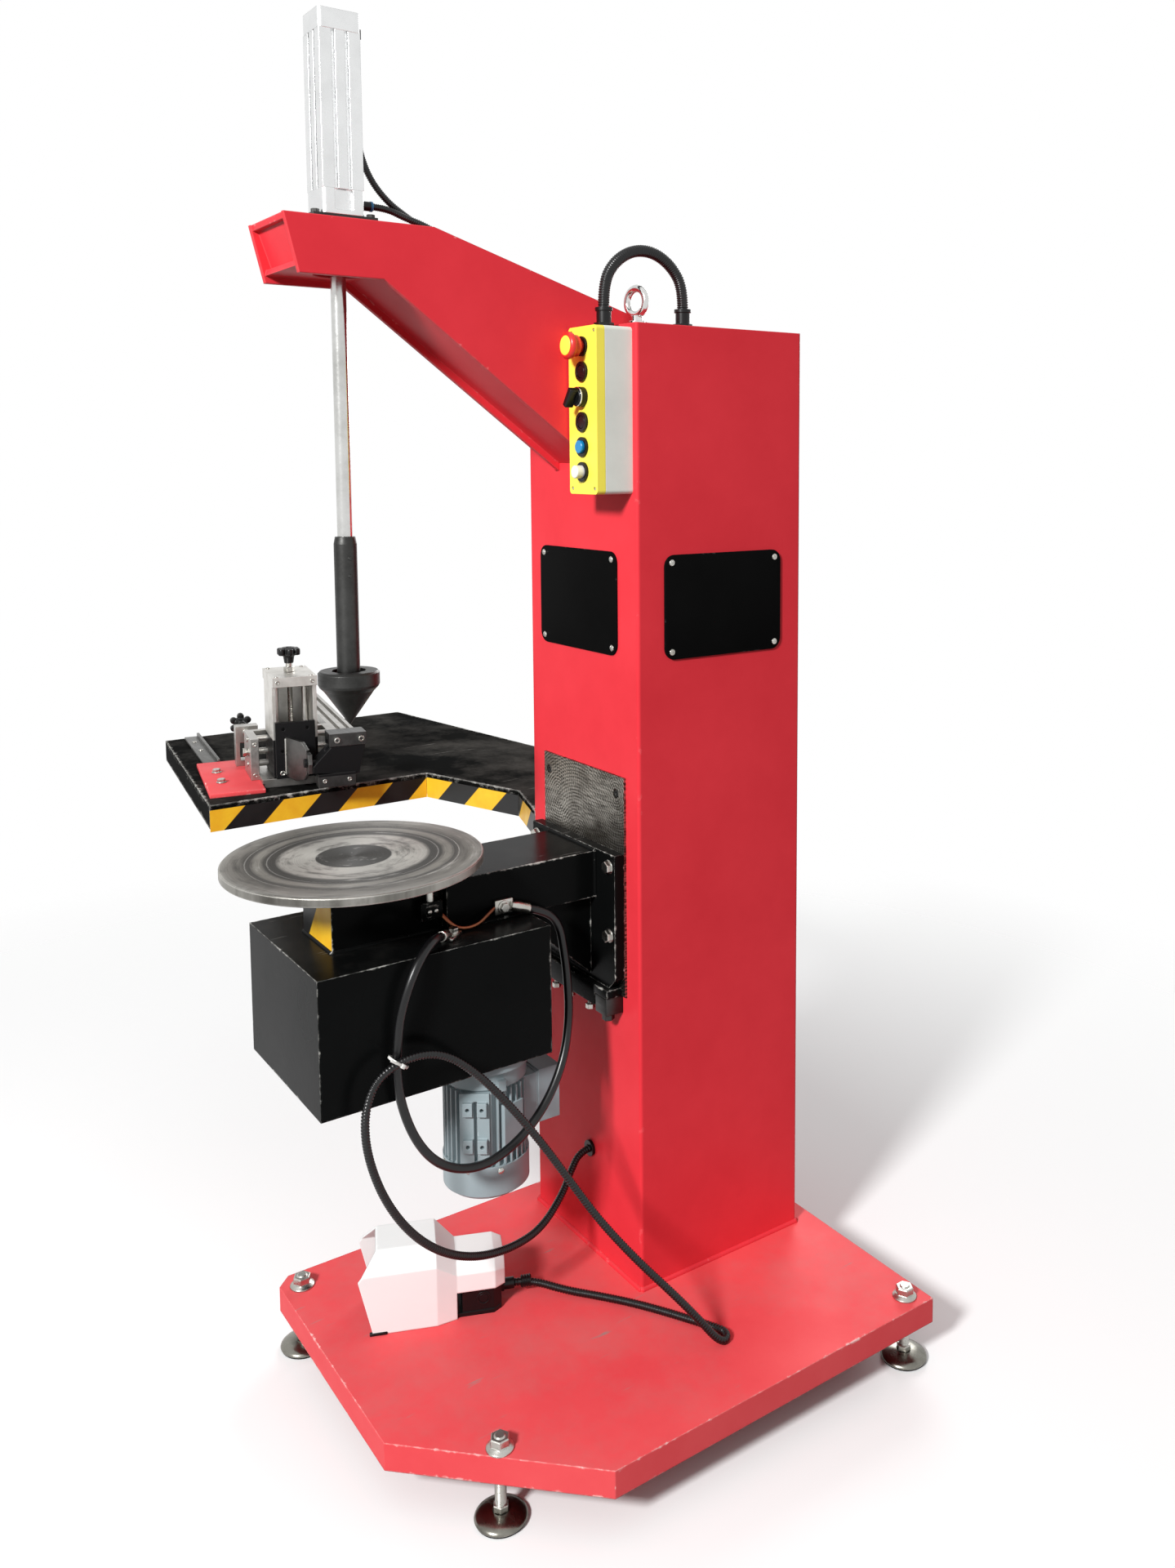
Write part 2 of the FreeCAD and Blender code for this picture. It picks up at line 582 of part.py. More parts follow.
cover = turned((
    (20.0, 0), (56.0, 0), (64.5, 7.0), (64.5, 51.0), (61.5, 51.0), (61.5, 8.0), (55.0, 2.5), (20.0, 2.5)),
    (motor_x, motor_y, motor_low))
grille_thick = 2.5
hub = cyl(9.0, grille_thick, (motor_x, motor_y, motor_low))
SPOKES = 8
ribs = []
for k in range(SPOKES):
    spoke_frame = local_frame(motor_x, motor_y, motor_low, FreeCAD.Rotation(Z_AXIS, 360.0 / SPOKES * k))
    ribs.append(box((0, -1.5, 0), (56.0, 3.0, grille_thick), spoke_frame))
mid_disc = cyl(15.5, grille_thick, (motor_x, motor_y, motor_low))
mid_ring = cut(mid_disc, cyl(13.0, 4.0, (motor_x, motor_y, motor_low - 1.0)))
node("fan_cover", fuse(cover, hub, mid_ring, *ribs))

shaft_low = motor_low + 14.0
rotor = turned((
    (0, shaft_low), (9.5, shaft_low), (9.5, frame_z + 16.0), (38.0, frame_z + 16.0),
    (38.0, frame_z + 146.0), (9.5, frame_z + 146.0), (9.5, unit_low + 22.0), (0, unit_low + 22.0)),
    (motor_x, motor_y, 0))
fan_hub = cyl(20.0, 20.0, (motor_x, motor_y, shaft_low + 4.0))
BLADES = 7
blades = []
for k in range(BLADES):
    blade_frame = local_frame(motor_x, motor_y, shaft_low, FreeCAD.Rotation(Z_AXIS, 360.0 / BLADES * k))
    blades.append(box((15.0, -1.25, 4.0), (36.0, 2.5, 20.0), blade_frame))
node("motor_rotor", fuse(rotor, fan_hub, *blades))

# Turntable: a turned disc with shallow concentric grooves.

disc_r = D["disc_radius"]
disc_top = ZB + D["disc_top"]
node("turntable", turned((
    (0, disc_low), (disc_r - 1.0, disc_low), (disc_r, disc_low + 1.0), (disc_r, disc_top - 1.5),
    (disc_r - 1.5, disc_top), (151.0, disc_top), (150.0, disc_top - 0.4), (149.0, disc_top),
    (121.0, disc_top), (120.0, disc_top - 0.4), (119.0, disc_top), (55.0, disc_top),
    (54.0, disc_top - 0.4), (53.0, disc_top), (0, disc_top)), (0, axis_y, 0)))

# Pneumatic tailstock: flange, caps, grooved barrel, rod with piston, sleeve and live centre.

side = D["barrel_side"] / 2
flange_plate = box((-30.0, axis_y - 44.0, arm_top), (60.0, 92.0, 11.0))
flange_bore = cyl(16.0, 30.0, (0, axis_y, arm_top - 5.0))
flange_cap_screws = []
for x in (-20.0, 20.0):
    for y in (-37.5, 41.5):
        flange_cap_screws.append(hexagon(10.0, 5.0, (x, axis_y + y, arm_top + 11.0)))
node("cylinder_flange", fuse(cut(flange_plate, flange_bore), *flange_cap_screws))

cap_low = arm_top + 11.0
tube_low = cap_low + 34.0
tube_high = tube_low + D["barrel_length"]


def square(reach):
    return ((-reach, -reach), (reach, -reach), (reach, reach), (-reach, reach))


def grooved(half_side):
    """A square profile with two sensor grooves in each side."""
    points = []
    for k in range(4):
        c, s = (1, 0, -1, 0)[k], (0, 1, 0, -1)[k]
        for a, b in ((-half_side, 0.0), (-12.0, 0.0), (-12.0, 4.0), (-7.0, 4.0), (-7.0, 0.0),
                     (7.0, 0.0), (7.0, 4.0), (12.0, 4.0), (12.0, 0.0)):
            u, w = a, -half_side + b
            points.append((u * c - w * s, u * s + w * c))
    return points


front_cap = prism("XY_Plane", square(side + 1.0), 34.0, (0, axis_y, cap_low))
rounded(front_cap, 7.0, upright(Z_AXIS))
cap_notches = []
for x, y in ((side - 5.0, -13.0), (-side - 3.0, -13.0)):
    cap_notches.append(box((x, axis_y + y, cap_low + 6.0), (10.0, 26.0, 30.0)))
front_bore = cyl(D["rod_radius"] + 0.06, 60.0, (0, axis_y, cap_low - 5.0))
front_port = cyl(5.0, 14.0, (0, axis_y + side - 8.0, cap_low + 20.0), "Y")
front_solid = cut(front_cap, front_bore, front_port, *cap_notches)
tube_body = prism("XY_Plane", grooved(29.0), D["barrel_length"], (0, axis_y, tube_low))
tube_bore = cyl(D["barrel_bore"], 240.0, (0, axis_y, tube_low - 5.0))
tube_solid = cut(tube_body, tube_bore)
rear_cap = prism("XY_Plane", square(side + 1.0), 26.0, (0, axis_y, tube_high))
rounded(rear_cap, 7.0, upright(Z_AXIS))
rear_port = cyl(5.0, 14.0, (-20.0, axis_y + side - 8.0, tube_high + 13.0), "Y")
rear_solid = cut(rear_cap, rear_port)
node("cylinder_barrel", gather(front_solid, tube_solid, rear_solid))

sleeve_low, sleeve_top = ZB + 985.0, ZB + 1193.0
rod_r = D["rod_radius"]
piston_low = tube_low + 4.0
node("tailstock_rod", turned((
    (0, sleeve_top), (rod_r, sleeve_top), (rod_r, piston_low), (24.9, piston_low),
    (24.9, piston_low + 18.0), (0, piston_low + 18.0)), (0, axis_y, 0)))
sleeve_r = D["sleeve_radius"]
sleeve = turned((
    (0, sleeve_low), (12.0, sleeve_low), (12.0, sleeve_low + 14.0), (sleeve_r, sleeve_low + 14.0),
    (sleeve_r, sleeve_top - 10.0), (sleeve_r - 2.0, sleeve_top), (0, sleeve_top)), (0, axis_y, 0))
set_screws = [cyl(2.6, 3.0, (sleeve_r - 1.0, axis_y, sleeve_top - z), "X") for z in (30.0, 55.0)]
node("tailstock_sleeve", fuse(sleeve, *set_screws))
centre_r = D["centre_radius"]
tip = ZB + 926.0
centre = turned((
    (0, tip), (1.5, tip), (35.0, tip + 48.0), (centre_r - 2.0, tip + 54.0), (centre_r, tip + 58.0),
    (centre_r, tip + 74.0), (centre_r - 3.0, tip + 77.0), (24.0, tip + 77.0), (24.0, tip + 72.5),
    (12.1, tip + 72.5), (12.1, tip + 58.0), (0, tip + 58.0)), (0, axis_y, 0))
node("live_centre", centre)

fittings = []
fitting_z = cap_low + 20.0
fitting_y = axis_y + side + 1.0
fittings.append(fuse(hexagon(14.0, 6.0, (0, fitting_y, fitting_z), "Y"),
                     cyl(6.5, 16.0, (0, fitting_y + 6.0, fitting_z), "Y")))
rear_x = -20.0
rear_z = tube_high + 13.0
fittings.append(fuse(hexagon(14.0, 5.0, (rear_x, fitting_y, rear_z), "Y"),
                     box((rear_x - 6.5, fitting_y + 5.0, rear_z - 6.5), (13.0, 13.0, 13.0)),
                     cyl(6.5, 14.0, (rear_x, fitting_y + 11.5, rear_z - 20.5))))
ROOF_SLOPE = 121.0 / 394.0
ROOF_TILT = math.degrees(math.atan(ROOF_SLOPE))
ROOF_Z = float(arm_top) - (435.0 + HOSE_Y) * ROOF_SLOPE


def roof_frame(x):
    return local_frame(x, HOSE_Y, ROOF_Z, FreeCAD.Rotation(X_AXIS, -ROOF_TILT))


for x in HOSE_X:
    seat_frame = roof_frame(x)
    fittings.append(fuse(box((-7.0, -7.0, 0), (14.0, 14.0, 15.0), seat_frame),
                         cyl(6.5, 12.0, (0, -19.0, 8.0), "Y", seat_frame)))
node("air_fittings", gather(*fittings))

# Control box on the column front: grey base, yellow lid, six devices on one pitch.

box_x = 73.0
box_mid = box_x + D["box_width"] / 2
box_low = ZB + 1249.0
box_w, box_h, box_d, lid_d = D["box_width"], D["box_height"], D["box_depth"], D["lid_depth"]
box_outline = ((0, 0), (box_w, 0), (box_w, box_h), (0, box_h))
box_shell = prism("XZ_Plane", box_outline, box_d, (box_x, -half, box_low))
rounded(box_shell, 6.0, upright(Y_AXIS))
box_inside = box((box_x + 3.0, -half - box_d - 1.0, box_low + 3.0), (box_w - 6.0, box_d - 2.0, box_h - 6.0))
box_entry = cyl(8.0, 12.0, (box_mid, -half - 26.0, box_low + box_h - 8.0))
node("control_box", cut(box_shell, box_inside, box_entry))

lid_y = -half - box_d
lid_face = lid_y - lid_d
DEVICES = [ZB + 1465.0 - D["button_pitch"] * k for k in range(6)]
lid_shell = prism("XZ_Plane", box_outline, lid_d, (box_x, lid_y, box_low))
rounded(lid_shell, 6.0, upright(Y_AXIS))
lid_inside = box((box_x + 3.0, lid_face + 3.0, box_low + 3.0), (box_w - 6.0, lid_d, box_h - 6.0))
lid_holes = [cyl(11.0, 10.0, (box_mid, lid_face - 3.0, z), "Y") for z in DEVICES]
lid_pits = [cyl(3.0, 2.0, (box_x + dx, lid_face - 0.5, box_low + dz), "Y")
            for dx in (8.0, 69.0) for dz in (8.0, 237.0)]
node("control_lid", cut(lid_shell, lid_inside, *lid_holes, *lid_pits))

collars = []
for k, z in enumerate(DEVICES):
    proud = (3.0, 4.0, 9.0, 4.0, 4.0, 4.0)[k]
    ring = cyl(14.5, proud, (box_mid, lid_face - proud, z), "Y")
    tube = cyl(10.9, 12.0, (box_mid, lid_face, z), "Y")
    hole = cyl(9.2 if k in (0, 2) else 9.9, 40.0, (box_mid, lid_face - 20.0, z), "Y")
    collars.append(cut(fuse(ring, tube), hole))
node("button_collars", gather(*collars))
blocks = [box((box_mid - 12.0, lid_face + 22.0, z - 14.0), (24.0, 30.0, 28.0)) for z in DEVICES]
node("contact_blocks", gather(*blocks))

estop_z, black_a, turn_z, black_b, blue_z, white_z = DEVICES
estop = turned((
    (0, 0), (9.0, 0), (9.0, 24.5), (12.0, 25.5), (12.0, 31.0), (19.0, 35.0), (20.0, 39.0), (18.0, 43.0),
    (12.0, 45.0), (0, 45.5)), (box_mid, lid_face + 15.0, estop_z), turn=(X_AXIS, 90.0))
node("estop_button", estop)


def button(z, proud):
    return turned(((0, 0), (9.6, 0), (9.6, 16.0 + proud), (8.6, 17.0 + proud), (0, 17.0 + proud)),
                  (box_mid, lid_face + 17.0, z), turn=(X_AXIS, 90.0))


node("black_button_upper", button(black_a, 3.6))
node("black_button_lower", button(black_b, 3.6))
node("blue_button", button(blue_z, 9.0))
node("white_button", button(white_z, 16.0))
knob_stem = cyl(9.0, 26.0, (box_mid, lid_face - 11.0, turn_z), "Y")
knob_disc = cyl(12.5, 4.0, (box_mid, lid_face - 13.4, turn_z), "Y")
LEVER_TURN = 35.0
lever_frame = local_frame(box_mid, lid_face, turn_z, FreeCAD.Rotation(Y_AXIS, LEVER_TURN))
knob_grip = box((-4.5, -27.0, -17.0), (9.0, 14.0, 30.0), lever_frame)
node("selector", fuse(knob_stem, knob_disc, knob_grip))

# Glands: control box top, column top, pedal and the column's front entry.

PEDAL = local_frame(-5.0, -437.0, ZB, FreeCAD.Rotation(Z_AXIS, 66.9))
ARCH_X = 114.0
gland_low = box_low + box_h
glands = []
for y, z in ((-half - 26.0, gland_low), (-42.0, column_top)):
    nut = hexagon(26.0, 7.0, (ARCH_X, y, z))
    barrel = cyl(11.0, 22.0, (ARCH_X, y, z + 7.0))
    rim = cyl(13.0, 5.0, (ARCH_X, y, z + 24.0))
    glands.append(fuse(nut, barrel, rim))
gland_nut = hexagon(20.0, 6.0, (102.0, 0, 17.0), "X", PEDAL)
gland_barrel = cyl(8.5, 16.0, (108.0, 0, 17.0), "X", PEDAL)
grommet_disc = cyl(13.0, 5.0, (14.0, -half - 5.0, ZB + 172.0), "Y")
grommet_hole = cyl(6.3, 9.0, (14.0, -half - 7.0, ZB + 172.0), "Y")
glands += [fuse(gland_nut, gland_barrel), cut(grommet_disc, grommet_hole)]
node("cable_glands", gather(*glands))

# Platform: a sheet tray with a plain top and a deep edge, welded to the column's left face.

SHELF = ((-160.0, -158.0), (-160.0, 158.0), (-1125.0, 17.0), (-1123.0, -518.0), (-527.0, -600.0),
         (-523.0, -190.0), (-297.0, -114.0))


def inset(points, gap):
    """Corners of a polygon moved inwards by a gap, for a counter-clockwise outline."""
    lines = []
    count = len(points)
    for i in range(count):
        (ax, ay), (bx, by) = points[i], points[(i + 1) % count]
        run = math.hypot(bx - ax, by - ay)
        nx, ny = -(by - ay) / run, (bx - ax) / run
        lines.append((nx, ny, nx * ax + ny * ay + gap))
    corners = []
    for i in range(count):
        a1, b1, c1 = lines[i - 1]
        a2, b2, c2 = lines[i]
        det = a1 * b2 - a2 * b1
        corners.append(((c1 * b2 - c2 * b1) / det, (a1 * c2 - a2 * c1) / det))
    return corners


shelf_top = ZB + D["shelf_top"]
shelf_low = shelf_top - D["shelf_thick"]
tray = prism("XY_Plane", SHELF, D["shelf_thick"], (0, 0, shelf_low))
tray_hollow = prism("XY_Plane", inset(SHELF, 4.0), D["shelf_thick"] - 6.0, (0, 0, shelf_low))
node("platform", cut(tray, tray_hollow))

# Torch slide on the platform, in a frame turned to point at the spindle axis:
# x to the spindle, y to the column, z up from the platform top.

SLIDE = local_frame(-620.0, -417.0, shelf_top, FreeCAD.Rotation(Z_AXIS, -11.0))
red_plate = box((-185.0, -156.0, 0), (263.0, 96.0, 8.0), SLIDE)
plate_bolts = []
for x in (-90.0, -5.0):
    plate_bolts.append(cyl(9.0, 2.0, (x, -128.0, 8.0), "Z", SLIDE))
    plate_bolts.append(hexagon(13.0, 6.0, (x, -128.0, 10.0), "Z", SLIDE))
STRIP = SLIDE.multiply(FreeCAD.Placement(V(-190.0, -112.0, 0), FreeCAD.Rotation(Z_AXIS, 3.0)))
strip = box((-283.0, -30.0, 0), (283.0, 30.0, 5.0), STRIP)
strip_edge = box((-283.0, -5.0, 5.0), (283.0, 5.0, 7.0), STRIP)
strip_holes = [cyl(3.5, 9.0, (x, -18.0, -2.0), "Z", STRIP) for x in (-220.0, -130.0)]
node("slide_base", gather(fuse(red_plate, *plate_bolts), cut(fuse(strip, strip_edge), *strip_holes)))

FEED_Y, FEED_Z = -68.5, 75.0
feed_solid = box((-150.0, -88.0, 8.0), (25.0, 42.0, 78.0), SLIDE)
feed_bore = cyl(6.06, 40.0, (-160.0, FEED_Y, FEED_Z), "X", SLIDE)
feed_window = box((-155.0, -80.0, 20.0), (40.0, 26.0, 34.0), SLIDE)
node("feed_block", cut(feed_solid, feed_bore, feed_window))

rail_solid = box((-525.0, 84.0, 0), (483.0, 40.0, 80.0), SLIDE)
rail_slots = [box((-550.0, 91.0 + 18.0 * k, 72.0), (570.0, 8.0, 10.0), SLIDE) for k in range(2)]
rail_slots += [box((-550.0, 82.0, z), (570.0, 10.0, 8.0), SLIDE) for z in (16.0, 56.0)]
rail_slots += [box((-550.0, 116.0, z), (570.0, 10.0, 8.0), SLIDE) for z in (16.0, 56.0)]
node("slide_rail", cut(rail_solid, *rail_slots))

CROSS_X = -36.0
end_left = box((-90.0, -76.0, 8.3), (95.0, 15.0, 77.0), SLIDE)
end_right = box((-90.0, 68.0, 8.3), (95.0, 15.0, 77.0), SLIDE)
sill = box((-90.0, -61.0, 8.3), (134.0, 129.0, 8.0), SLIDE)
sill_foot = box((-90.0, -58.0, 0.5), (134.0, 126.0, 8.0), SLIDE)
back_bar = box((-90.0, -61.0, 70.3), (14.0, 129.0, 15.0), SLIDE)
tongue = box((-86.0, 83.0, 57.0), (87.0, 7.7, 6.0), SLIDE)
rods = [cyl(6.0, 139.0, (CROSS_X, -63.0, z), "Y", SLIDE) for z in (31.0, 78.0)]
nut_bore = cyl(5.1, 90.0, (-95.0, FEED_Y, FEED_Z), "X", SLIDE)
screw_bores = cyl(6.06, 190.0, (CROSS_X, -85.0, 54.0), "Y", SLIDE)
cross_ends = fuse(end_left, end_right, sill, sill_foot, back_bar, tongue, *rods)
node("cross_frame", cut(cross_ends, nut_bore, screw_bores))


def star_knob(at, turn):
    """A six-lobed hand knob on a tapered hub, its axis along the local Z."""
    spot = SLIDE.multiply(FreeCAD.Placement(V(*at), turn))
    body = doc.addObject("PartDesign::Body", "Knob")
    sketch = outline(body, "XZ_Plane", (
        (0, 0), (8.0, 0), (10.0, 12.0), (14.0, 16.0), (14.0, 28.0), (11.0, 30.0), (0, 30.0)))
    spin = body.newObject("PartDesign::Revolution", "Hub")
    spin.Profile = sketch
    spin.ReferenceAxis = (sketch, ["V_Axis"])
    spin.Angle = 360.0
    lobe = outline(body, "XY_Plane", (), [(15.5, 0, 6.5)])
    lobe.AttachmentOffset = FreeCAD.Placement(V(0, 0, 15.0), FreeCAD.Rotation())
    lobe_pad = body.newObject("PartDesign::Pad", "Lobe")
    lobe_pad.Profile = lobe
    lobe_pad.Length = 13.0
    ring = body.newObject("PartDesign::PolarPattern", "Lobes")
    ring.Originals = [lobe_pad]
    ring.Axis = (sketch, ["V_Axis"])
    ring.Angle = 360.0
    ring.Occurrences = 6
    body.Tip = ring
    body.Placement = spot
    return body


feed_knob = star_knob((-188.0, FEED_Y, FEED_Z), FreeCAD.Rotation(Y_AXIS, -90.0))
feed_shaft = cyl(6.0, 67.0, (-188.0, FEED_Y, FEED_Z), "X", SLIDE)
feed_screw = cyl(5.0, 85.0, (-122.0, FEED_Y, FEED_Z), "X", SLIDE)
node("feed_screw", fuse(feed_knob, feed_shaft, feed_screw))

LIFT_X = -10.0
cross_block = box((-60.0, -38.0, 18.0), (36.0, 76.0, 70.0), SLIDE)
cross_bores = [cyl(6.06, 90.0, (CROSS_X, -45.0, z), "Y", SLIDE) for z in (31.0, 54.0, 78.0)]
lift_back = box((-60.0, -40.0, 18.0), (12.0, 80.0, 169.0), SLIDE)
lift_walls = [box((-60.0, y, 18.0), (104.0, 7.0, 169.0), SLIDE) for y in (-40.0, 33.0)]
lift_top = box((-76.0, -40.0, 187.0), (132.0, 80.0, 18.0), SLIDE)
lift_foot = box((-60.0, -40.0, 18.0), (104.0, 80.0, 6.0), SLIDE)
lift_rods = [cyl(5.0, 168.0, (LIFT_X, y, 21.0), "Z", SLIDE) for y in (-26.0, 26.0)]
lift_bore = cyl(6.06, 30.0, (LIFT_X, 0, 182.0), "Z", SLIDE)
foot_bore = cyl(5.2, 20.0, (LIFT_X, 0, 12.0), "Z", SLIDE)
post = cut(fuse(cross_block, lift_back, *lift_walls), *cross_bores)
node("cross_carriage", cut(fuse(post, lift_top, lift_foot, *lift_rods), lift_bore, foot_bore))

cross_screw = cyl(6.0, 161.0, (CROSS_X, -79.0, 54.0), "Y", SLIDE)
cross_head = hexagon(14.0, 6.0, (CROSS_X, -85.0, 54.0), "Y", SLIDE)
node("cross_screw", fuse(cross_screw, cross_head))

lift_block = box((-20.0, -32.5, 34.0), (67.0, 65.0, 56.0), SLIDE)
lift_block_bores = [cyl(5.06, 80.0, (LIFT_X, y, 24.0), "Z", SLIDE) for y in (-26.0, 0, 26.0)]
adapter = box((46.0, -37.0, 17.5), (8.0, 71.0, 104.0), SLIDE)
ADAPTER_HOLES = ((-23.0, 109.0), (20.0, 109.0), (-25.0, 68.0), (20.0, 68.0))
adapter_holes = [cyl(3.4, 10.0, (47.5, y, z), "X", SLIDE) for y, z in ADAPTER_HOLES]
CARRIER = SLIDE.multiply(FreeCAD.Placement(V(54.0, -15.0, 0), FreeCAD.Rotation(Z_AXIS, 30.6)))
carrier_outline = (
    (-3.0, 22.0), (24.0, 16.0), (44.0, 20.0), (54.0, 34.0), (54.0, 76.0), (40.0, 90.0), (-3.0, 94.0))
carrier = prism("XZ_Plane", carrier_outline, 7.0, (0, 3.5, 0), frame=CARRIER)
pivot_at = (110.0, 55.0)
ear_outline = ((94.0, 38.0), (124.0, 38.0), (128.0, 55.0), (124.0, 72.0), (94.0, 72.0))
pivot_ear = prism("XZ_Plane", ear_outline, 7.0, (0, 16.0, 0), [pivot_at + (4.06,)], frame=SLIDE)
lift_solid = fuse(cut(lift_block, *lift_block_bores), adapter, carrier, pivot_ear)
node("lift_carriage", cut(lift_solid, *adapter_holes))

lift_knob = star_knob((LIFT_X, 0, 222.0), FreeCAD.Rotation())
lift_shaft = cyl(6.0, 41.0, (LIFT_X, 0, 183.0), "Z", SLIDE)
lift_screw = cyl(5.0, 166.0, (LIFT_X, 0, 18.5), "Z", SLIDE)
lift_nut_hex = hexagon(17.0, 9.0, (LIFT_X, 0, 206.0), "Z", SLIDE)
node("lift_screw", fuse(lift_knob, lift_shaft, lift_screw, lift_nut_hex))

# Torch clamp: a leaning block on a pivot through the carrier's ear, with a cap bar and a lower bar.

pivot = cyl(4.0, 29.0, (pivot_at[0], 5.0, pivot_at[1]), "Y", SLIDE)
pivot_head = cyl(8.0, 5.0, (pivot_at[0], 3.6, pivot_at[1]), "Y", SLIDE)
clamp_outline = ((16.4, 39.0), (98.0, 32.0), (110.0, 84.0), (50.0, 84.0), (16.4, 50.0))
clamp_block = prism("YZ_Plane", clamp_outline, 42.0, (88.0, 0, 0), frame=SLIDE)
clamp_bore = cyl(11.0, 76.0, (109.0, 41.0, 84.5), "Y", SLIDE)
clamp_cap = box((86.0, 46.0, 85.0), (46.0, 66.0, 23.0), SLIDE)
clamp_screws = [cyl(5.0, 6.0, (131.0, y, 97.0), "X", SLIDE) for y in (59.0, 102.0)]
clamp_neck = [cyl(2.5, 4.0, (x, 79.0, 83.0), "Z", SLIDE) for x in (92.0, 126.0)]
clamp_bar = box((108.0, 25.0, 12.0), (26.0, 66.0, 24.0), SLIDE)
clamp_solid = fuse(clamp_block, clamp_cap, clamp_bar, pivot, pivot_head, *clamp_screws, *clamp_neck)
node("torch_clamp", cut(clamp_solid, clamp_bore))

# Foot pedal: black base with a raised back block, white hood open at the toe end, sprung treadle.

def both_sides(points):
    """A closed plan outline from its corners on one side of the pedal's middle line."""
    return [(x, -y) for x, y in points] + list(reversed(points))


pedal_plan = both_sides([(-90.0, 51.0), (2.0, 51.0), (34.0, 41.5), (90.0, 41.5), (102.0, 32.0)])
pedal_plate = prism("XY_Plane", pedal_plan, 6.0, frame=PEDAL)
block_plan = both_sides([(42.0, 40.0), (90.0, 40.0), (102.0, 31.0)])
pedal_block = prism("XY_Plane", block_plan, 40.0, (0, 0, 6.0), frame=PEDAL)
pin_ears = [box((22.0, y, 6.0), (14.0, 6.0, 20.0), PEDAL) for y in (-40.0, 34.0)]
pin_bores = cyl(3.06, 100.0, (29.0, -50.0, 18.0), "Y", PEDAL)
node("pedal_base", cut(fuse(pedal_plate, pedal_block, *pin_ears), pin_bores))


def hood_shell(low, stations):
    """A ruled loft through six-cornered sections: place, half width, wall top, top, half lid."""
    rings = []
    for x, width, wall_top, top, lid in stations:
        ring = doc.addObject("Part::Polygon", "section")
        corners = (
            (-width, low), (width, low), (width, wall_top), (lid, top), (-lid, top), (-width, wall_top))
        ring.Nodes = [PEDAL.multVec(V(x, y, z)) for y, z in corners]
        ring.Close = True
        rings.append(ring)
    shell = doc.addObject("Part::Loft", "hood")
    shell.Sections = rings
    shell.Solid = True
    shell.Ruled = True
    return shell


hood_out = hood_shell(0.5, (
    (-112.0, 55.0, 92.0, 120.0, 32.0), (4.0, 55.0, 92.0, 120.0, 32.0), (34.0, 46.0, 70.0, 86.0, 32.0),
    (92.0, 46.0, 70.0, 86.0, 32.0), (107.0, 36.0, 66.0, 80.0, 28.0)))
hood_in = hood_shell(-5.0, (
    (-118.0, 51.5, 90.4, 116.4, 30.4), (3.0, 51.5, 90.4, 116.4, 30.4), (32.5, 42.5, 68.5, 82.5, 30.5),
    (91.0, 42.5, 68.5, 82.5, 30.5), (103.5, 34.0, 65.0, 77.0, 27.0)))
mouth_rim = ((-130.0, -5.0), (-89.4, -5.0), (-111.0, 85.0), (-82.0, 121.0), (-82.0, 130.0), (-130.0, 130.0))
mouth_cut = prism("XZ_Plane", mouth_rim, 130.0, (0, 65.0, 0), frame=PEDAL)
hood_skirt = box((34.0, -60.0, -5.0), (90.0, 120.0, 47.0), PEDAL)
room_plan = both_sides([(36.0, 40.3), (90.1, 40.3), (102.3, 31.15)])
block_room = prism("XY_Plane", room_plan, 46.3, frame=PEDAL)
node("pedal_hood", cut(hood_out, hood_in, mouth_cut, hood_skirt, block_room))

treadle_outline = (
    (-92.0, 22.0), (-92.0, 28.0), (-10.0, 36.0), (33.0, 26.0),
    (33.0, 12.0), (24.0, 12.0), (20.0, 22.0), (-10.0, 29.0))
treadle = prism("XZ_Plane", treadle_outline, 66.0, (0, 33.0, 0), frame=PEDAL)
treadle_pin = cyl(3.0, 80.0, (29.0, -40.0, 18.0), "Y", PEDAL)
node("pedal_treadle", fuse(treadle, treadle_pin))

# Earth return: a brush holder under the disc, a braid to a bolted lug on the beam.

brush_base = box((55.0, -478.0, ZB + 640.0), (17.0, 34.0, 26.0))
brush = cyl(6.0, disc_low - 0.6 - (ZB + 640.0), (64.0, -461.0, ZB + 640.0))
lug_tab = box((70.0, -362.0, ZB + 626.0), (7.0, 30.0, 22.0))
lug_bolt = hexagon(13.0, 6.0, (77.0, -348.0, ZB + 637.0), "X")
BEAM_LUG = local_frame(78.0, -336.0, ZB + 637.0, FreeCAD.Rotation(Y_AXIS, V(0.15, 0.94, -0.31)))
lug_barrel = cyl(8.0, 30.0, (0, 0, 0), "Y", BEAM_LUG)

LUG_TURN, LUG_TILT = -49.0, -15.0
CASING_LUG = local_frame(92.0, -438.0, casing_top, FreeCAD.Rotation(Z_AXIS, LUG_TURN))
CRIMP = CASING_LUG.multiply(FreeCAD.Placement(V(20.0, 0, 8.3), FreeCAD.Rotation(Y_AXIS, LUG_TILT)))
crimp_tab = box((-11.0, -9.0, 0), (36.0, 18.0, 5.0), CASING_LUG)
crimp = cyl(8.0, 24.0, (0, 0, 0), "X", CRIMP)
crimp_bolt = hexagon(13.0, 6.0, (0, 0, 5.0), "Z", CASING_LUG)


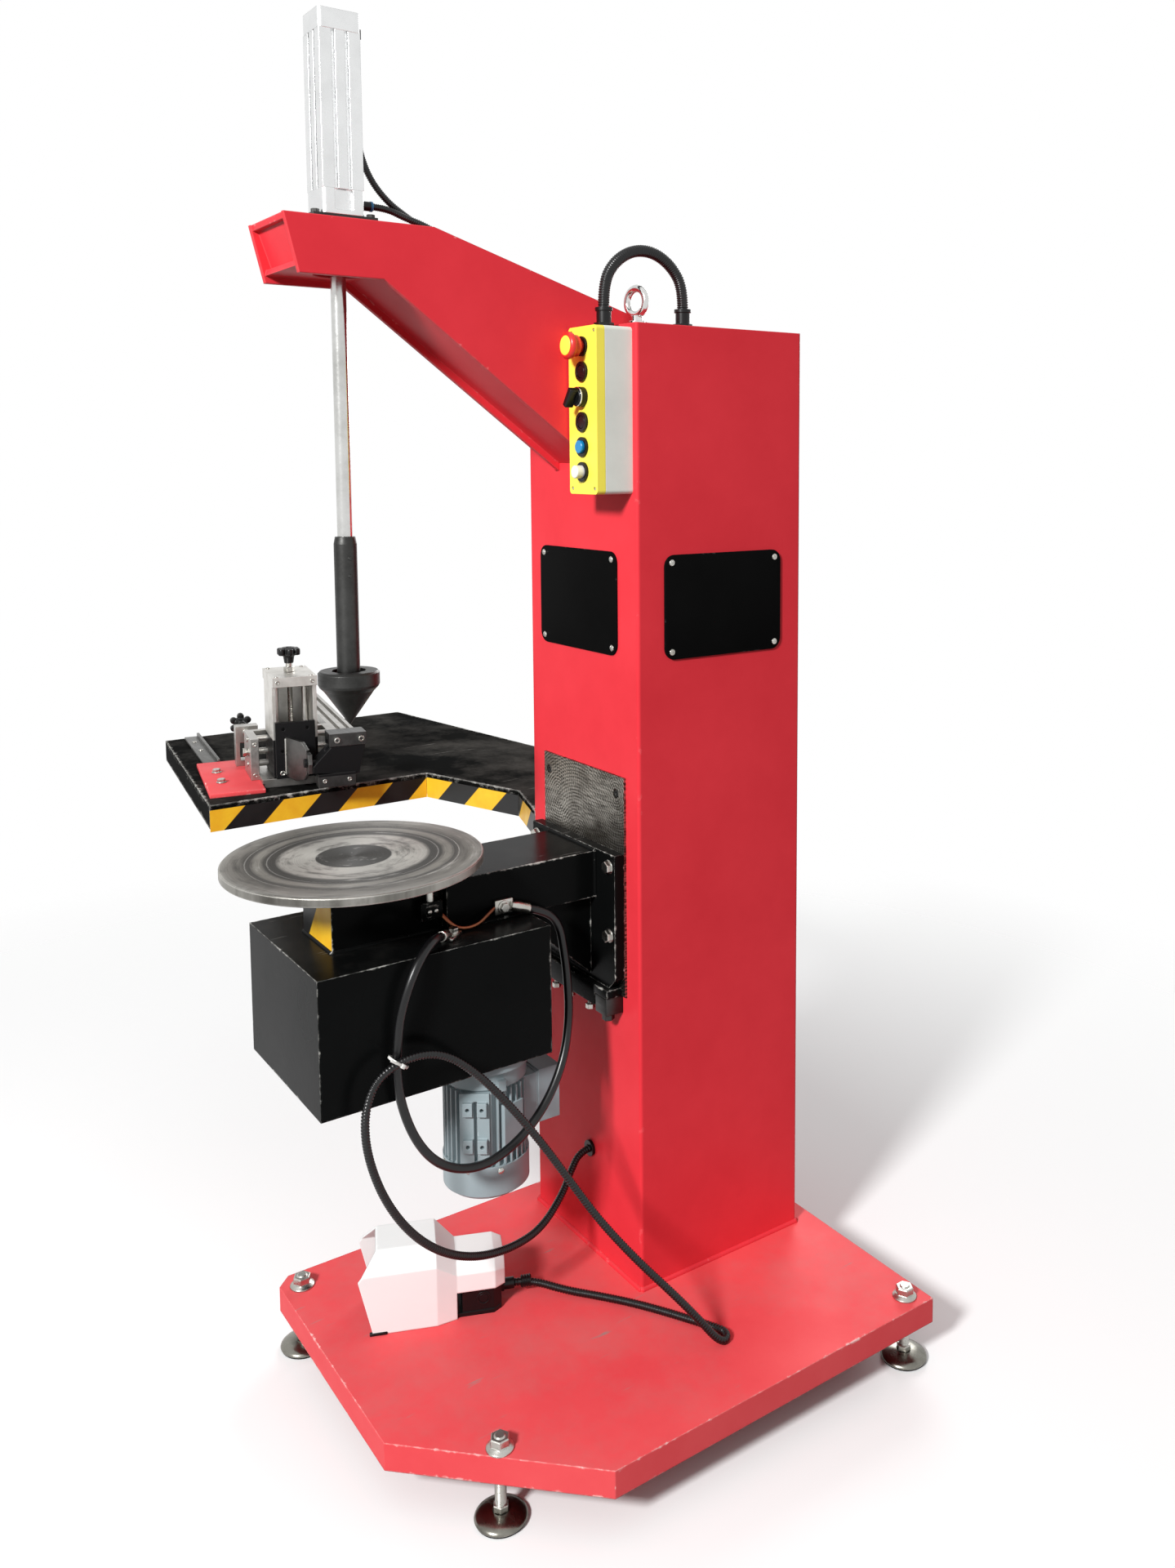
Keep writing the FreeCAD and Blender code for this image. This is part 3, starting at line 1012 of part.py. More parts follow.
def tube_shape(points, radius, name):
    """A tube along straight runs joined by arcs as large as the runs allow."""
    spots = [V(*p) for p in points]
    edges = []
    start = spots[0]
    report = []
    for i in range(1, len(spots) - 1):
        a, b, c = spots[i - 1], spots[i], spots[i + 1]
        u, w = a.sub(b), c.sub(b)
        run = min(u.Length, w.Length)
        u.normalize()
        w.normalize()
        turn = math.pi - u.getAngle(w)
        bend = 0.45 * run / math.tan(turn / 2.0)
        report.append("%.0f" % bend)
        back = 0.45 * run
        p, q = b.add(V(u).multiply(back)), b.add(V(w).multiply(back))
        inward = u.add(w)
        inward.normalize()
        depth = math.hypot(bend, back) - bend
        edges.append(Part.LineSegment(start, p).toShape())
        edges.append(Part.Arc(p, b.add(V(inward).multiply(depth)), q).toShape())
        start = q
    edges.append(Part.LineSegment(start, spots[-1]).toShape())
    path = Part.Wire(edges)
    ring = Part.Wire([Part.makeCircle(float(radius), spots[0], spots[1].sub(spots[0]))])
    solid = path.makePipeShell([ring], True, False)
    expected = math.pi * float(radius) ** 2 * path.Length
    print("%s: length %.0f mm, volume ratio %.4f, radii %s" % (
        name, path.Length, solid.Volume / expected, ", ".join(report)))
    return solid


def tube(points, radius, name):
    obj = doc.addObject("Part::Feature", "tube")
    obj.Shape = tube_shape(points, radius, name)
    return put(obj, (0, 0, ZB))


BRAID = (
    (64.0, -446.0, 646.0), (82.0, -436.0, 628.0), (84.0, -416.0, 620.0),
    (84.0, -394.0, 622.0), (80.0, -376.0, 632.0), (73.5, -362.0, 637.0))
braid = tube(BRAID, 3.0, "earth_braid")
brush_set = fuse(brush_base, brush)
beam_lug_set = fuse(lug_tab, lug_bolt, lug_barrel)
casing_lug_set = fuse(crimp, crimp_tab, crimp_bolt)
node("earth_contact", gather(brush_set, beam_lug_set, casing_lug_set, braid))

# Cords. Points are above the base plate's top, in the column frame.


def cord_point(frame, along):
    """A point of a turned frame, as a cord's point."""
    spot = frame.multVec(V(*along))
    return (spot.x - float(D["column_x"]), spot.y - float(D["column_y"]), spot.z - float(ZB))


fit_y = float(fitting_y) + 22.0
fit_z = float(fitting_z) - float(ZB)
ARCH = [
    (ARCH_X, -186.0, 1523.0), (ARCH_X, -186.0, 1560.0), (ARCH_X, -166.0, 1592.0), (ARCH_X, -133.0, 1611.0),
    (ARCH_X, -95.0, 1611.0), (ARCH_X, -62.0, 1592.0), (ARCH_X, -42.0, 1562.0), (ARCH_X, -42.0, 1529.0)]
node("conduit_arch", tube(ARCH, D["arch_radius"], "conduit_arch"))

upper_end, lower_end = [cord_point(roof_frame(x), (0, -19.0, 8.0)) for x in HOSE_X]
upper_in, lower_in = [cord_point(roof_frame(x), (0, -46.0, 8.0)) for x in HOSE_X]
LOWER_HOSE = [
    (0, fit_y, fit_z), (0, fit_y + 22.0, fit_z), (4.0, fit_y + 48.0, fit_z - 11.0),
    (9.0, fit_y + 74.0, fit_z - 19.0), (13.0, fit_y + 99.0, fit_z - 32.0), lower_in, lower_end]
top_y = float(fitting_y) + 11.5
top_z = float(rear_z) - float(ZB) - 20.5
UPPER_HOSE = [
    (rear_x, top_y, top_z), (rear_x, top_y, top_z - 30.0), (-21.0, top_y - 1.5, top_z - 68.0),
    (-19.0, top_y - 1.5, top_z - 104.0), (-15.0, top_y + 1.5, top_z - 140.0),
    (-9.0, top_y + 12.5, top_z - 175.0), (-5.0, top_y + 35.5, top_z - 204.0),
    (-8.0, top_y + 66.5, top_z - 222.0), (-14.0, top_y + 101.5, top_z - 238.0), upper_in, upper_end]
lower_hose = tube(LOWER_HOSE, D["hose_radius"], "lower hose")
upper_hose = tube(UPPER_HOSE, D["hose_radius"], "upper hose")
node("air_hoses", gather(lower_hose, upper_hose))

earth_end, earth_in = [cord_point(CRIMP, (far, 0, 0)) for far in (24.0, 44.0)]
lug_end, lug_out = [cord_point(BEAM_LUG, (0, far, 0)) for far in (30.0, 60.0)]
EARTH = [
    lug_end, lug_out,
    (88.0, -260.0, 596.0), (91.0, -254.0, 560.0), (98.0, -252.0, 515.0), (110.0, -256.0, 458.0),
    (126.0, -276.0, 398.0), (141.0, -317.0, 345.0), (152.0, -373.0, 308.0), (159.0, -436.0, 294.0),
    (161.0, -497.0, 317.0), (159.0, -537.0, 371.0), (154.6, -558.0, 448.0), (154.4, -554.0, 524.0),
    (157.0, -549.0, 556.0), (158.0, -538.0, 589.0), (154.0, -523.0, 614.0), (144.0, -504.0, 630.0),
    earth_in, earth_end]
node("earth_cable", tube(EARTH, D["cable_radius"], "earth_cable"))

gland_far, gland_tip = [cord_point(PEDAL, (far, 0, 17.0)) for far in (150.0, 124.0)]
CONDUIT = [
    (14.0, -165.0, 172.0), (15.0, -184.0, 170.0), (28.0, -207.0, 155.0), (51.0, -238.0, 134.0),
    (82.0, -294.0, 114.0), (106.0, -356.0, 119.0), (128.0, -424.0, 140.0), (146.0, -487.0, 178.0),
    (159.0, -541.0, 232.0), (166.0, -582.0, 298.0), (170.0, -606.0, 366.0), (170.5, -612.0, 420.0),
    (169.5, -602.0, 462.0), (167.8, -579.0, 484.0), (166.8, -537.0, 494.0), (169.0, -494.0, 486.0),
    (176.0, -452.0, 452.0), (188.0, -408.0, 398.0), (203.0, -364.0, 334.0), (222.0, -328.0, 272.0),
    (246.0, -292.0, 206.0), (276.0, -246.0, 140.0), (304.0, -198.0, 80.0), (323.0, -166.0, 36.0),
    (333.0, -146.0, 12.0), (338.0, -132.0, 6.3), (332.1, -119.3, 6.3), (318.9, -114.5, 6.3),
    (299.0, -123.8, 6.3), (268.0, -141.0, 6.3), (226.0, -166.0, 6.3), (180.0, -194.0, 6.3),
    (134.0, -228.0, 6.3), (96.0, -262.0, 8.0), gland_far, gland_tip]
node("pedal_conduit", tube(CONDUIT, D["conduit_radius"], "pedal_conduit"))

tie = doc.addObject("Part::Feature", "tie")
tie_ring = Part.makeTorus(15.2, 1.6, V(161.0, -557.0, 488.0), V(0, 0.6, 0.8))
tie.Shape = tie_ring
node("cable_tie", put(tie, (0, 0, ZB)))

doc.recompute()

bad = []
for obj in doc.Objects:
    if "Invalid" in obj.State or "Error" in obj.State:
        bad.append(obj.Name)
for name, obj in NODES.items():
    if obj.Shape.isNull() or not obj.Shape.isValid():
        bad.append(name)
if bad:
    raise RuntimeError("failed: " + ", ".join(bad))

os.makedirs("parts", exist_ok=True)
for name, obj in NODES.items():
    obj.Shape.exportStep(os.path.join("parts", name + ".step"))
print("%d sub-parts written" % len(NODES))
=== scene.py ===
import math

import bmesh
import bpy
from mathutils import Matrix, Vector


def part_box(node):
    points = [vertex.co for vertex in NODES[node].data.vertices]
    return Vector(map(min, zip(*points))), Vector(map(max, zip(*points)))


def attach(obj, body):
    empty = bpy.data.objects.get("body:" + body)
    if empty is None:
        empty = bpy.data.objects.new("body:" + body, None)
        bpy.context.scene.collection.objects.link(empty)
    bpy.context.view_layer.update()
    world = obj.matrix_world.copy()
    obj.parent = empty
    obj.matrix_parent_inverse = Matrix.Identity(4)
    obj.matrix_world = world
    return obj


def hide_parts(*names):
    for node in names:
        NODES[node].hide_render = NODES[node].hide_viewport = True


# Column-type welding positioner: finishes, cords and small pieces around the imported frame.

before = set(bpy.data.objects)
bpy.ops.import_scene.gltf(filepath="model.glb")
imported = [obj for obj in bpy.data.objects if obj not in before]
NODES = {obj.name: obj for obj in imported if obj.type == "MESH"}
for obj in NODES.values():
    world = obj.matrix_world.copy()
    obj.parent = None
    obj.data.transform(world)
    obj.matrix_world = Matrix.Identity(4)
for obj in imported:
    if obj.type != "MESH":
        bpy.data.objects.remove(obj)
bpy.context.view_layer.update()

MM = 0.001
UP, DOWN, RIGHT, LEFT, BACK, FRONT = (0, 0, 1), (0, 0, -1), (1, 0, 0), (-1, 0, 0), (0, 1, 0), (0, -1, 0)
column_low, column_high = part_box("column")
FOOT = Vector(((column_low.x + column_high.x) / 2, (column_low.y + column_high.y) / 2, column_low.z))
COLUMN = Matrix.Translation(FOOT)

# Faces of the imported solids, in millimetres from the column's foot. AXIS_Y is the turntable's axis.
COLUMN_HALF = 160
ARM_HALF, ARM_LOW, ARM_HIGH = 70, 1283, 1500
BEAM_HALF, BEAM_TOP, BEAM_END, FLANGE_FACE = 70, 691, -437, -182
DECK_TOP = 700
CASING_TOP, CASING_BACK = 617, -303
HOUSING_HALF, HOUSING_FRONT = 55, -605
AXIS_Y = -548


def shift(x, y, z):
    """A move given in millimetres."""
    return Matrix.Translation(Vector((x, y, z)) * MM)


def turned(degrees, axis="Z"):
    return Matrix.Rotation(math.radians(degrees), 4, axis)


def local_frame(x, y, z, degrees):
    """A frame turned about the vertical, at a point in millimetres from the column's foot."""
    return COLUMN @ shift(x, y, z) @ turned(degrees)


SLIDE = local_frame(-620, -417, DECK_TOP, -11)
STRIP = SLIDE @ shift(-190, -112, 0) @ turned(3)
PEDAL = local_frame(-5, -437, 0, 66.9)


def seat(x, y, z, axis=UP, base=COLUMN):
    """Where a shape drawn along its own Z axis goes: a point in millimetres and a direction."""
    turn = Vector(UP).rotation_difference(Vector(axis)).to_matrix().to_4x4()
    return base @ shift(x, y, z) @ turn


# Shapes. Each is a small bmesh in millimetres, joined into its piece where it belongs.

FLAT = 0.001


def level_edges(bm):
    return [e for e in bm.edges if abs(e.verts[0].co.z - e.verts[1].co.z) < FLAT]


def top_edges(bm, height):
    return [e for e in bm.edges if min(v.co.z for v in e.verts) > height - FLAT]


def soften(bm, edges, offset, segments=2):
    bmesh.ops.bevel(bm, geom=edges, offset=offset, offset_type="OFFSET", segments=segments,
                    profile=0.5, affect="EDGES", material=-1, clamp_overlap=True)


def merge(bm, part):
    """Join one bmesh into another, where it lies."""
    held = bpy.data.meshes.new("held")
    part.to_mesh(held)
    part.free()
    bm.from_mesh(held)
    bpy.data.meshes.remove(held)


def slab(low, size, bevel=0.0, segments=2):
    bm = bmesh.new()
    bmesh.ops.create_cube(bm, size=1.0)
    bmesh.ops.scale(bm, vec=size, verts=bm.verts)
    bmesh.ops.translate(bm, vec=[a + b / 2 for a, b in zip(low, size)], verts=bm.verts)
    if bevel:
        soften(bm, bm.edges[:], bevel, segments)
    return bm


def disc(radius, height, bevel=0.0, sides=32):
    bm = bmesh.new()
    bmesh.ops.create_cone(bm, cap_ends=True, segments=sides, radius1=radius, radius2=radius, depth=height)
    bmesh.ops.translate(bm, vec=(0, 0, height / 2), verts=bm.verts)
    if bevel:
        soften(bm, level_edges(bm), bevel)
    return bm


def lathe(profile, steps=40):
    """A closed body of revolution from (radius, height) corners; off the axis, a ring."""
    bm = bmesh.new()
    verts = [bm.verts.new((r, 0, z)) for r, z in profile]
    edges = [bm.edges.new(pair) for pair in zip(verts, verts[1:])]
    if profile[0][0] > 0:
        edges.append(bm.edges.new((verts[-1], verts[0])))
    bmesh.ops.spin(bm, geom=verts + edges, cent=(0, 0, 0), axis=UP, angle=math.tau, steps=steps,
                   use_merge=True)
    bmesh.ops.remove_doubles(bm, verts=bm.verts, dist=1e-4)
    bmesh.ops.recalc_face_normals(bm, faces=bm.faces)
    return bm


def hexhead(across, height):
    """A hexagon with its upper corners chamfered."""
    bm = disc(across / math.sqrt(3), height, sides=6)
    soften(bm, top_edges(bm, height), across * 0.05, 1)
    return bm


def socket_screw(radius, height):
    """A cap screw with the round mouth of its key socket."""
    floor, key, chamfer = height - height * 0.6, radius * 0.52, 0.6
    return lathe(((0, floor), (key, floor), (key, height), (radius - chamfer, height),
                  (radius, height - chamfer), (radius, 0), (0, 0)), 24)


def pan_screw(radius, height):
    """A domed screw head with a raised cross for its driver."""
    dome = ((0, height), (radius * 0.55, height * 0.86), (radius * 0.9, height * 0.45), (radius, 0), (0, 0))
    bm = lathe(dome, 20)
    for turn in (0, 90):
        bar = slab((-radius * 0.55, -radius * 0.09, height * 0.72),
                   (radius * 1.1, radius * 0.18, height * 0.3))
        bar.transform(turned(turn))
        merge(bm, bar)
    return bm


def thread(low, high, radius, pitch=2.0, depth=0.9):
    """The zigzag edge of a threaded length, from its lower to its upper end."""
    turns = int((high - low) / pitch)
    points = []
    for k in range(turns):
        points += [(radius - depth, low + k * pitch), (radius, low + (k + 0.5) * pitch)]
    return points + [(radius - depth, high)]


def stud(length, radius, steps=20, **cut):
    """A threaded length standing on its end."""
    return lathe([(0, 0), *thread(0, length, radius, **cut), (0, length)], steps)


def link(name, data):
    """An object in the scene, at the origin."""
    obj = bpy.data.objects.new(name, data)
    bpy.context.scene.collection.objects.link(obj)
    return obj


def piece(name, parts, body, material, replaces=(), crease=34):
    """A finished mesh from (shape, place) pairs on its body, with its paint or metal."""
    bm = bmesh.new()
    for part, where in parts:
        part.transform(where @ Matrix.Scale(MM, 4))
        merge(bm, part)
    mesh = bpy.data.meshes.new(name)
    bm.to_mesh(mesh)
    bm.free()
    mesh.shade_smooth()
    mesh.set_sharp_from_angle(angle=math.radians(crease))
    mesh.materials.append(material)
    obj = link(name, mesh)
    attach(obj, body)
    if replaces:
        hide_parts(*replaces)
    return obj


# Finishes


def srgb(red, green, blue):
    """A colour as it looks on a screen, 0 to 255, as the shader's linear values."""
    linear = [c / 255 / 12.92 if c < 10.3 else ((c / 255 + 0.055) / 1.055) ** 2.4
              for c in (red, green, blue)]
    return (*linear, 1.0)


class Sheet:
    """Short calls for the nodes of one shader tree."""

    def __init__(self, tree):
        self.tree = tree

    def feed(self, socket, value):
        if isinstance(value, bpy.types.NodeSocket):
            self.tree.links.new(value, socket)
        else:
            socket.default_value = value

    def add(self, kind, props=None, **inputs):
        node = self.tree.nodes.new("ShaderNode" + kind)
        for key, value in (props or {}).items():
            setattr(node, key, value)
        for key, value in inputs.items():
            self.feed(node.inputs[key.replace("_", " ")], value)
        return node

    def calc(self, operation, a, b=0.0, c=0.0):
        node = self.add("Math", {"operation": operation})
        for socket, value in zip(node.inputs, (a, b, c)):
            self.feed(socket, value)
        return node.outputs[0]

    def span(self, value, low, high, to_low=0.0, to_high=1.0):
        node = self.add("MapRange", Value=value, From_Min=low, From_Max=high, To_Min=to_low, To_Max=to_high)
        return node.outputs["Result"]

    def spot(self):
        return self.add("TexCoord").outputs["Object"]

    def noise(self, vector, scale, detail=2.0, rough=0.5):
        node = self.add("TexNoise", Vector=vector, Scale=scale, Detail=detail, Roughness=rough)
        return node.outputs[0]

    def mix(self, factor, a, b):
        node = self.add("Mix", {"data_type": "RGBA"})
        for index, value in ((0, factor), (6, a), (7, b)):
            self.feed(node.inputs[index], value)
        return node.outputs[2]

    def stretch(self, vector, scale, turn):
        rotation = (0, 0, math.radians(turn))
        return self.add("Mapping", Vector=vector, Rotation=rotation, Scale=scale).outputs[0]

    def dot(self, a, b):
        node = self.add("VectorMath", {"operation": "DOT_PRODUCT"})
        self.feed(node.inputs[0], a)
        self.feed(node.inputs[1], b)
        return node.outputs["Value"]

    def bump(self, height, strength, distance=0.001, normal=None):
        node = self.add("Bump", Height=height, Strength=strength, Distance=distance)
        if normal is not None:
            self.feed(node.inputs["Normal"], normal)
        return node.outputs[0]

    def seen(self):
        """One where the eye, a reflection or a see-through surface looks, and nought as light."""
        path = self.add("LightPath").outputs
        mirrored = self.calc("MAXIMUM", path["Is Glossy Ray"], path["Is Transmission Ray"])
        return self.calc("MAXIMUM", path["Is Camera Ray"], mirrored)

    def use(self, group, **values):
        node = self.tree.nodes.new("ShaderNodeGroup")
        node.node_tree = group
        for key, value in values.items():
            self.feed(node.inputs[key], value)
        return node.outputs


def effect(name, inputs, outputs):
    """An empty shader group with named value inputs and outputs."""
    group = bpy.data.node_groups.new(name, "ShaderNodeTree")
    for key, value in inputs.items():
        group.interface.new_socket(key, in_out="INPUT", socket_type="NodeSocketFloat").default_value = value
    for key, kind in outputs.items():
        group.interface.new_socket(key, in_out="OUTPUT", socket_type="NodeSocket" + kind)
    source = group.nodes.new("NodeGroupInput")
    sink = group.nodes.new("NodeGroupOutput")
    return group, Sheet(group), source.outputs, sink.inputs


def paint_skin_effect():
    """Fine spray texture and broad cloudy changes of a painted face."""
    group, n, given, out = effect("paint_skin", {"Grain": 300.0, "Cloud": 5.0},
                                  {"Peel": "Float", "Mottle": "Float"})
    where = n.spot()
    n.feed(out["Peel"], n.noise(where, given["Grain"], 3.0, 0.55))
    n.feed(out["Mottle"], n.noise(where, given["Cloud"], 5.0, 0.62))
    return group


def edge_wear_effect():
    """Rounded edges, a pale line along them, which is rubbed paint on most finishes and a painted highlight
    on the turntable's rim, and chips knocked out of them.
    """
    group, n, given, out = effect("edge_wear", {"Radius": 0.003, "Grain": 70.0, "Amount": 0.5},
                                  {"Rub_And_Highlight": "Float", "Chip": "Float", "Normal": "Vector"})
    soft = n.add("Bevel", {"samples": 6}, Radius=given["Radius"]).outputs[0]
    broad = n.add("Bevel", {"samples": 6}, Radius=n.calc("MULTIPLY", given["Radius"], 2.6)).outputs[0]
    flat = n.add("NewGeometry").outputs["Normal"]
    n.feed(out["Rub_And_Highlight"], n.span(n.calc("SUBTRACT", 1.0, n.dot(soft, flat)), 0.02, 0.25))
    near = n.calc("SUBTRACT", 1.0, n.dot(broad, flat))
    speckle = n.noise(n.spot(), given["Grain"], 4.0, 0.7)
    uneven = n.span(n.noise(n.spot(), 9.0, 2.0, 0.5), 0.3, 0.7, -0.1, 0.1)
    dent = n.calc("MULTIPLY", near, given["Amount"])
    knocked = n.calc("MULTIPLY_ADD", dent, 0.8, n.calc("ADD", speckle, uneven))
    n.feed(out["Chip"], n.calc("MULTIPLY", n.span(knocked, 0.66, 0.7), n.span(near, 0.01, 0.03)))
    n.feed(out["Normal"], soft)
    return group


def dust_effect():
    """Grey dust and scuffs on what faces up."""
    group, n, given, out = effect("dust", {"Grain": 8.0, "Amount": 0.5}, {"Mask": "Float", "Scuff": "Float"})
    where = n.spot()
    facing = n.span(n.dot(n.add("NewGeometry").outputs["Normal"], (0, 0, 1)), 0.6, 0.95)
    cloud = n.span(n.noise(where, given["Grain"], 6.0, 0.7), 0.42, 0.72)
    n.feed(out["Mask"], n.calc("MULTIPLY", n.calc("MULTIPLY", cloud, facing), given["Amount"]))
    fine = n.calc("MULTIPLY", given["Grain"], 14.0)
    streaks = n.span(n.noise(n.stretch(where, (1.0, 0.12, 1.0), 35.0), fine, 3.0, 0.6), 0.66, 0.74)
    n.feed(out["Scuff"], n.calc("MULTIPLY", n.calc("MULTIPLY", streaks, facing), cloud))
    return group


def machined_effect():
    """Fine cutter streaks along one direction of a raw metal face, with stains."""
    group, n, given, out = effect("machined", {"Along": 8.0, "Across": 260.0, "Turn": 0.0},
                                  {"Streak": "Float", "Stain": "Float"})
    where = n.spot()
    mapping = n.add("Mapping", Vector=where)
    scale = n.add("CombineXYZ", X=given["Along"], Y=given["Across"], Z=given["Across"])
    turn = n.add("CombineXYZ", Z=given["Turn"])
    n.feed(mapping.inputs["Scale"], scale.outputs[0])
    n.feed(mapping.inputs["Rotation"], turn.outputs[0])
    n.feed(out["Streak"], n.noise(mapping.outputs[0], 1.0, 3.0, 0.6))
    n.feed(out["Stain"], n.noise(where, 22.0, 5.0, 0.65))
    return group


def lathe_rings_effect():
    """Distance from an upright axis and the fine rings that a lathe leaves round it."""
    group, n, given, out = effect("lathe_rings", {"Centre X": 0.0, "Centre Y": 0.0, "Pitch": 900.0},
                                  {"Reach": "Float", "Ring": "Float", "Arc": "Float"})
    where = n.add("SeparateXYZ", Vector=n.spot()).outputs
    dx = n.calc("SUBTRACT", where[0], given["Centre X"])
    dy = n.calc("SUBTRACT", where[1], given["Centre Y"])
    reach = n.calc("SQRT", n.calc("ADD", n.calc("MULTIPLY", dx, dx), n.calc("MULTIPLY", dy, dy)))
    n.feed(out["Reach"], reach)
    line = n.add("CombineXYZ", X=n.calc("MULTIPLY", reach, given["Pitch"])).outputs[0]
    n.feed(out["Ring"], n.noise(line, 1.0, 3.0, 0.7))
    near = n.calc("MAXIMUM", reach, 0.001)
    swept = n.add("CombineXYZ", X=n.calc("DIVIDE", dx, near), Y=n.calc("DIVIDE", dy, near),
                  Z=n.calc("MULTIPLY", reach, 42.0)).outputs[0]
    n.feed(out["Arc"], n.noise(swept, 1.5, 5.0, 0.62))
    return group


PAINT_SKIN = paint_skin_effect()
EDGE_WEAR = edge_wear_effect()
DUST = dust_effect()
MACHINED = machined_effect()
LATHE_RINGS = lathe_rings_effect()


METAL_EDGE, FINE_EDGE = 0.0015, 0.0012
SETTLED_DUST, SCUFFED = srgb(150, 146, 140), srgb(140, 138, 134)


def finish(name, colour, rough, metal=0.0, specular=0.5):
    """A material with its plain values set on the shader."""
    material = bpy.data.materials.new(name)
    material.use_nodes = True
    shader = material.node_tree.nodes["Principled BSDF"].inputs
    shader["Base Color"].default_value = colour
    shader["Roughness"].default_value = rough
    shader["Metallic"].default_value = metal
    shader["Specular IOR Level"].default_value = specular
    return material, Sheet(material.node_tree), shader


def painted(name, colour, cloudy, rough, grain, peel, chip, amount, radius, dust=0.0, specular=0.5, rub=0.35):
    """Sprayed paint: cloudy colour, spray texture, rubbed and chipped edges, dust on top."""
    material, n, shader = finish(name, colour, rough, specular=specular)
    skin = n.use(PAINT_SKIN, Grain=grain, Cloud=5.0)
    wear = n.use(EDGE_WEAR, Radius=radius, Amount=amount)
    tone = n.mix(n.span(skin["Mottle"], 0.3, 0.7), colour, cloudy)
    tone = n.mix(n.calc("MULTIPLY", wear["Rub_And_Highlight"], rub), tone, chip)
    if dust:
        settled = n.use(DUST, Grain=6.0, Amount=dust)
        tone = n.mix(settled["Mask"], tone, SETTLED_DUST)
        tone = n.mix(settled["Scuff"], tone, SCUFFED)
    tone = n.mix(wear["Chip"], tone, chip)
    n.feed(shader["Base Color"], tone)
    n.feed(shader["Roughness"], n.span(skin["Mottle"], 0.25, 0.75, rough - 0.06, rough + 0.08))
    n.feed(shader["Normal"], n.bump(skin["Peel"], peel, 0.0006, wear["Normal"]))
    return material


def raw_metal(name, colour, stained, rough, turn=0.0, along=8.0, across=260.0, streak=0.1):
    """Bare metal with cutter streaks, light stains and eased edges."""
    material, n, shader = finish(name, colour, rough, metal=1.0)
    cutter = n.use(MACHINED, Along=along, Across=across, Turn=math.radians(turn))
    wear = n.use(EDGE_WEAR, Radius=METAL_EDGE, Amount=0.3)
    tone = n.mix(n.span(cutter["Stain"], 0.4, 0.75), colour, stained)
    n.feed(shader["Base Color"], n.mix(n.calc("MULTIPLY", cutter["Streak"], 0.3), tone, stained))
    n.feed(shader["Roughness"], n.span(cutter["Streak"], 0.2, 0.8, rough - streak, rough + streak))
    n.feed(shader["Normal"], n.bump(cutter["Streak"], 0.12, 0.0003, wear["Normal"]))
    return material


def moulded(name, colour, rough, grain=900.0, peel=0.06, specular=0.5, tint=0.9):
    """Moulded plastic or rubber with a fine grain and a slight change of tone."""
    material, n, shader = finish(name, colour, rough, specular=specular)
    skin = n.use(PAINT_SKIN, Grain=grain, Cloud=14.0)
    wear = n.use(EDGE_WEAR, Radius=FINE_EDGE, Amount=0.2)
    darker = tuple(c * tint for c in colour[:3]) + (1.0,)
    n.feed(shader["Base Color"], n.mix(n.span(skin["Mottle"], 0.3, 0.7), colour, darker))
    n.feed(shader["Roughness"], n.span(skin["Mottle"], 0.2, 0.8, rough - 0.05, rough + 0.05))
    n.feed(shader["Normal"], n.bump(skin["Peel"], peel, 0.0003, wear["Normal"]))
    return material


def half_black(name, bare, stained, *cuts):
    """Blackened steel that is left bare beyond planes across the slide's own axes."""
    material, n, shader = finish(name, bare, 0.42, specular=0.2)
    where = n.spot()
    bright = None
    for direction, limit in cuts:
        axis = SLIDE.to_3x3() @ Vector(direction)
        level = axis.dot(SLIDE.translation) + limit * MM
        side = n.span(n.dot(where, axis), level - 0.2 * MM, level + 0.2 * MM)
        bright = side if bright is None else n.calc("MAXIMUM", bright, side)
    cutter = n.use(MACHINED, Along=8.0, Across=260.0, Turn=math.radians(11.0))
    wear = n.use(EDGE_WEAR, Radius=FINE_EDGE, Amount=0.3)
    metal = n.mix(n.span(cutter["Stain"], 0.4, 0.75), bare, stained)
    black = n.mix(n.calc("MULTIPLY", wear["Rub_And_Highlight"], 0.3), srgb(17, 17, 18), srgb(92, 92, 90))
    n.feed(shader["Base Color"], n.mix(bright, black, metal))
    n.feed(shader["Metallic"], bright)
    n.feed(shader["Roughness"], n.span(cutter["Streak"], 0.2, 0.8, 0.32, 0.5))
    n.feed(shader["Normal"], n.bump(cutter["Streak"], 0.12, 0.0003, wear["Normal"]))
    return material


# The turntable's bands: each stop's share of the radius in metres, and its tone. The bright band from 0.30 to
# 0.55 is partly the steel's own tone and partly a painted sheen.
TABLE_RADIUS = 0.185
TABLE_BANDS_AND_SHEEN = (
    (0.0, (46, 45, 41)), (0.285, (52, 50, 46)), (0.30, (192, 189, 182)), (0.55, (178, 174, 167)),
    (0.59, (54, 51, 46)), (0.67, (62, 58, 53)), (0.70, (134, 130, 122)), (0.75, (136, 132, 124)),
    (0.78, (64, 60, 55)), (0.84, (112, 108, 101)), (0.93, (132, 128, 121)), (1.0, (160, 158, 152)))


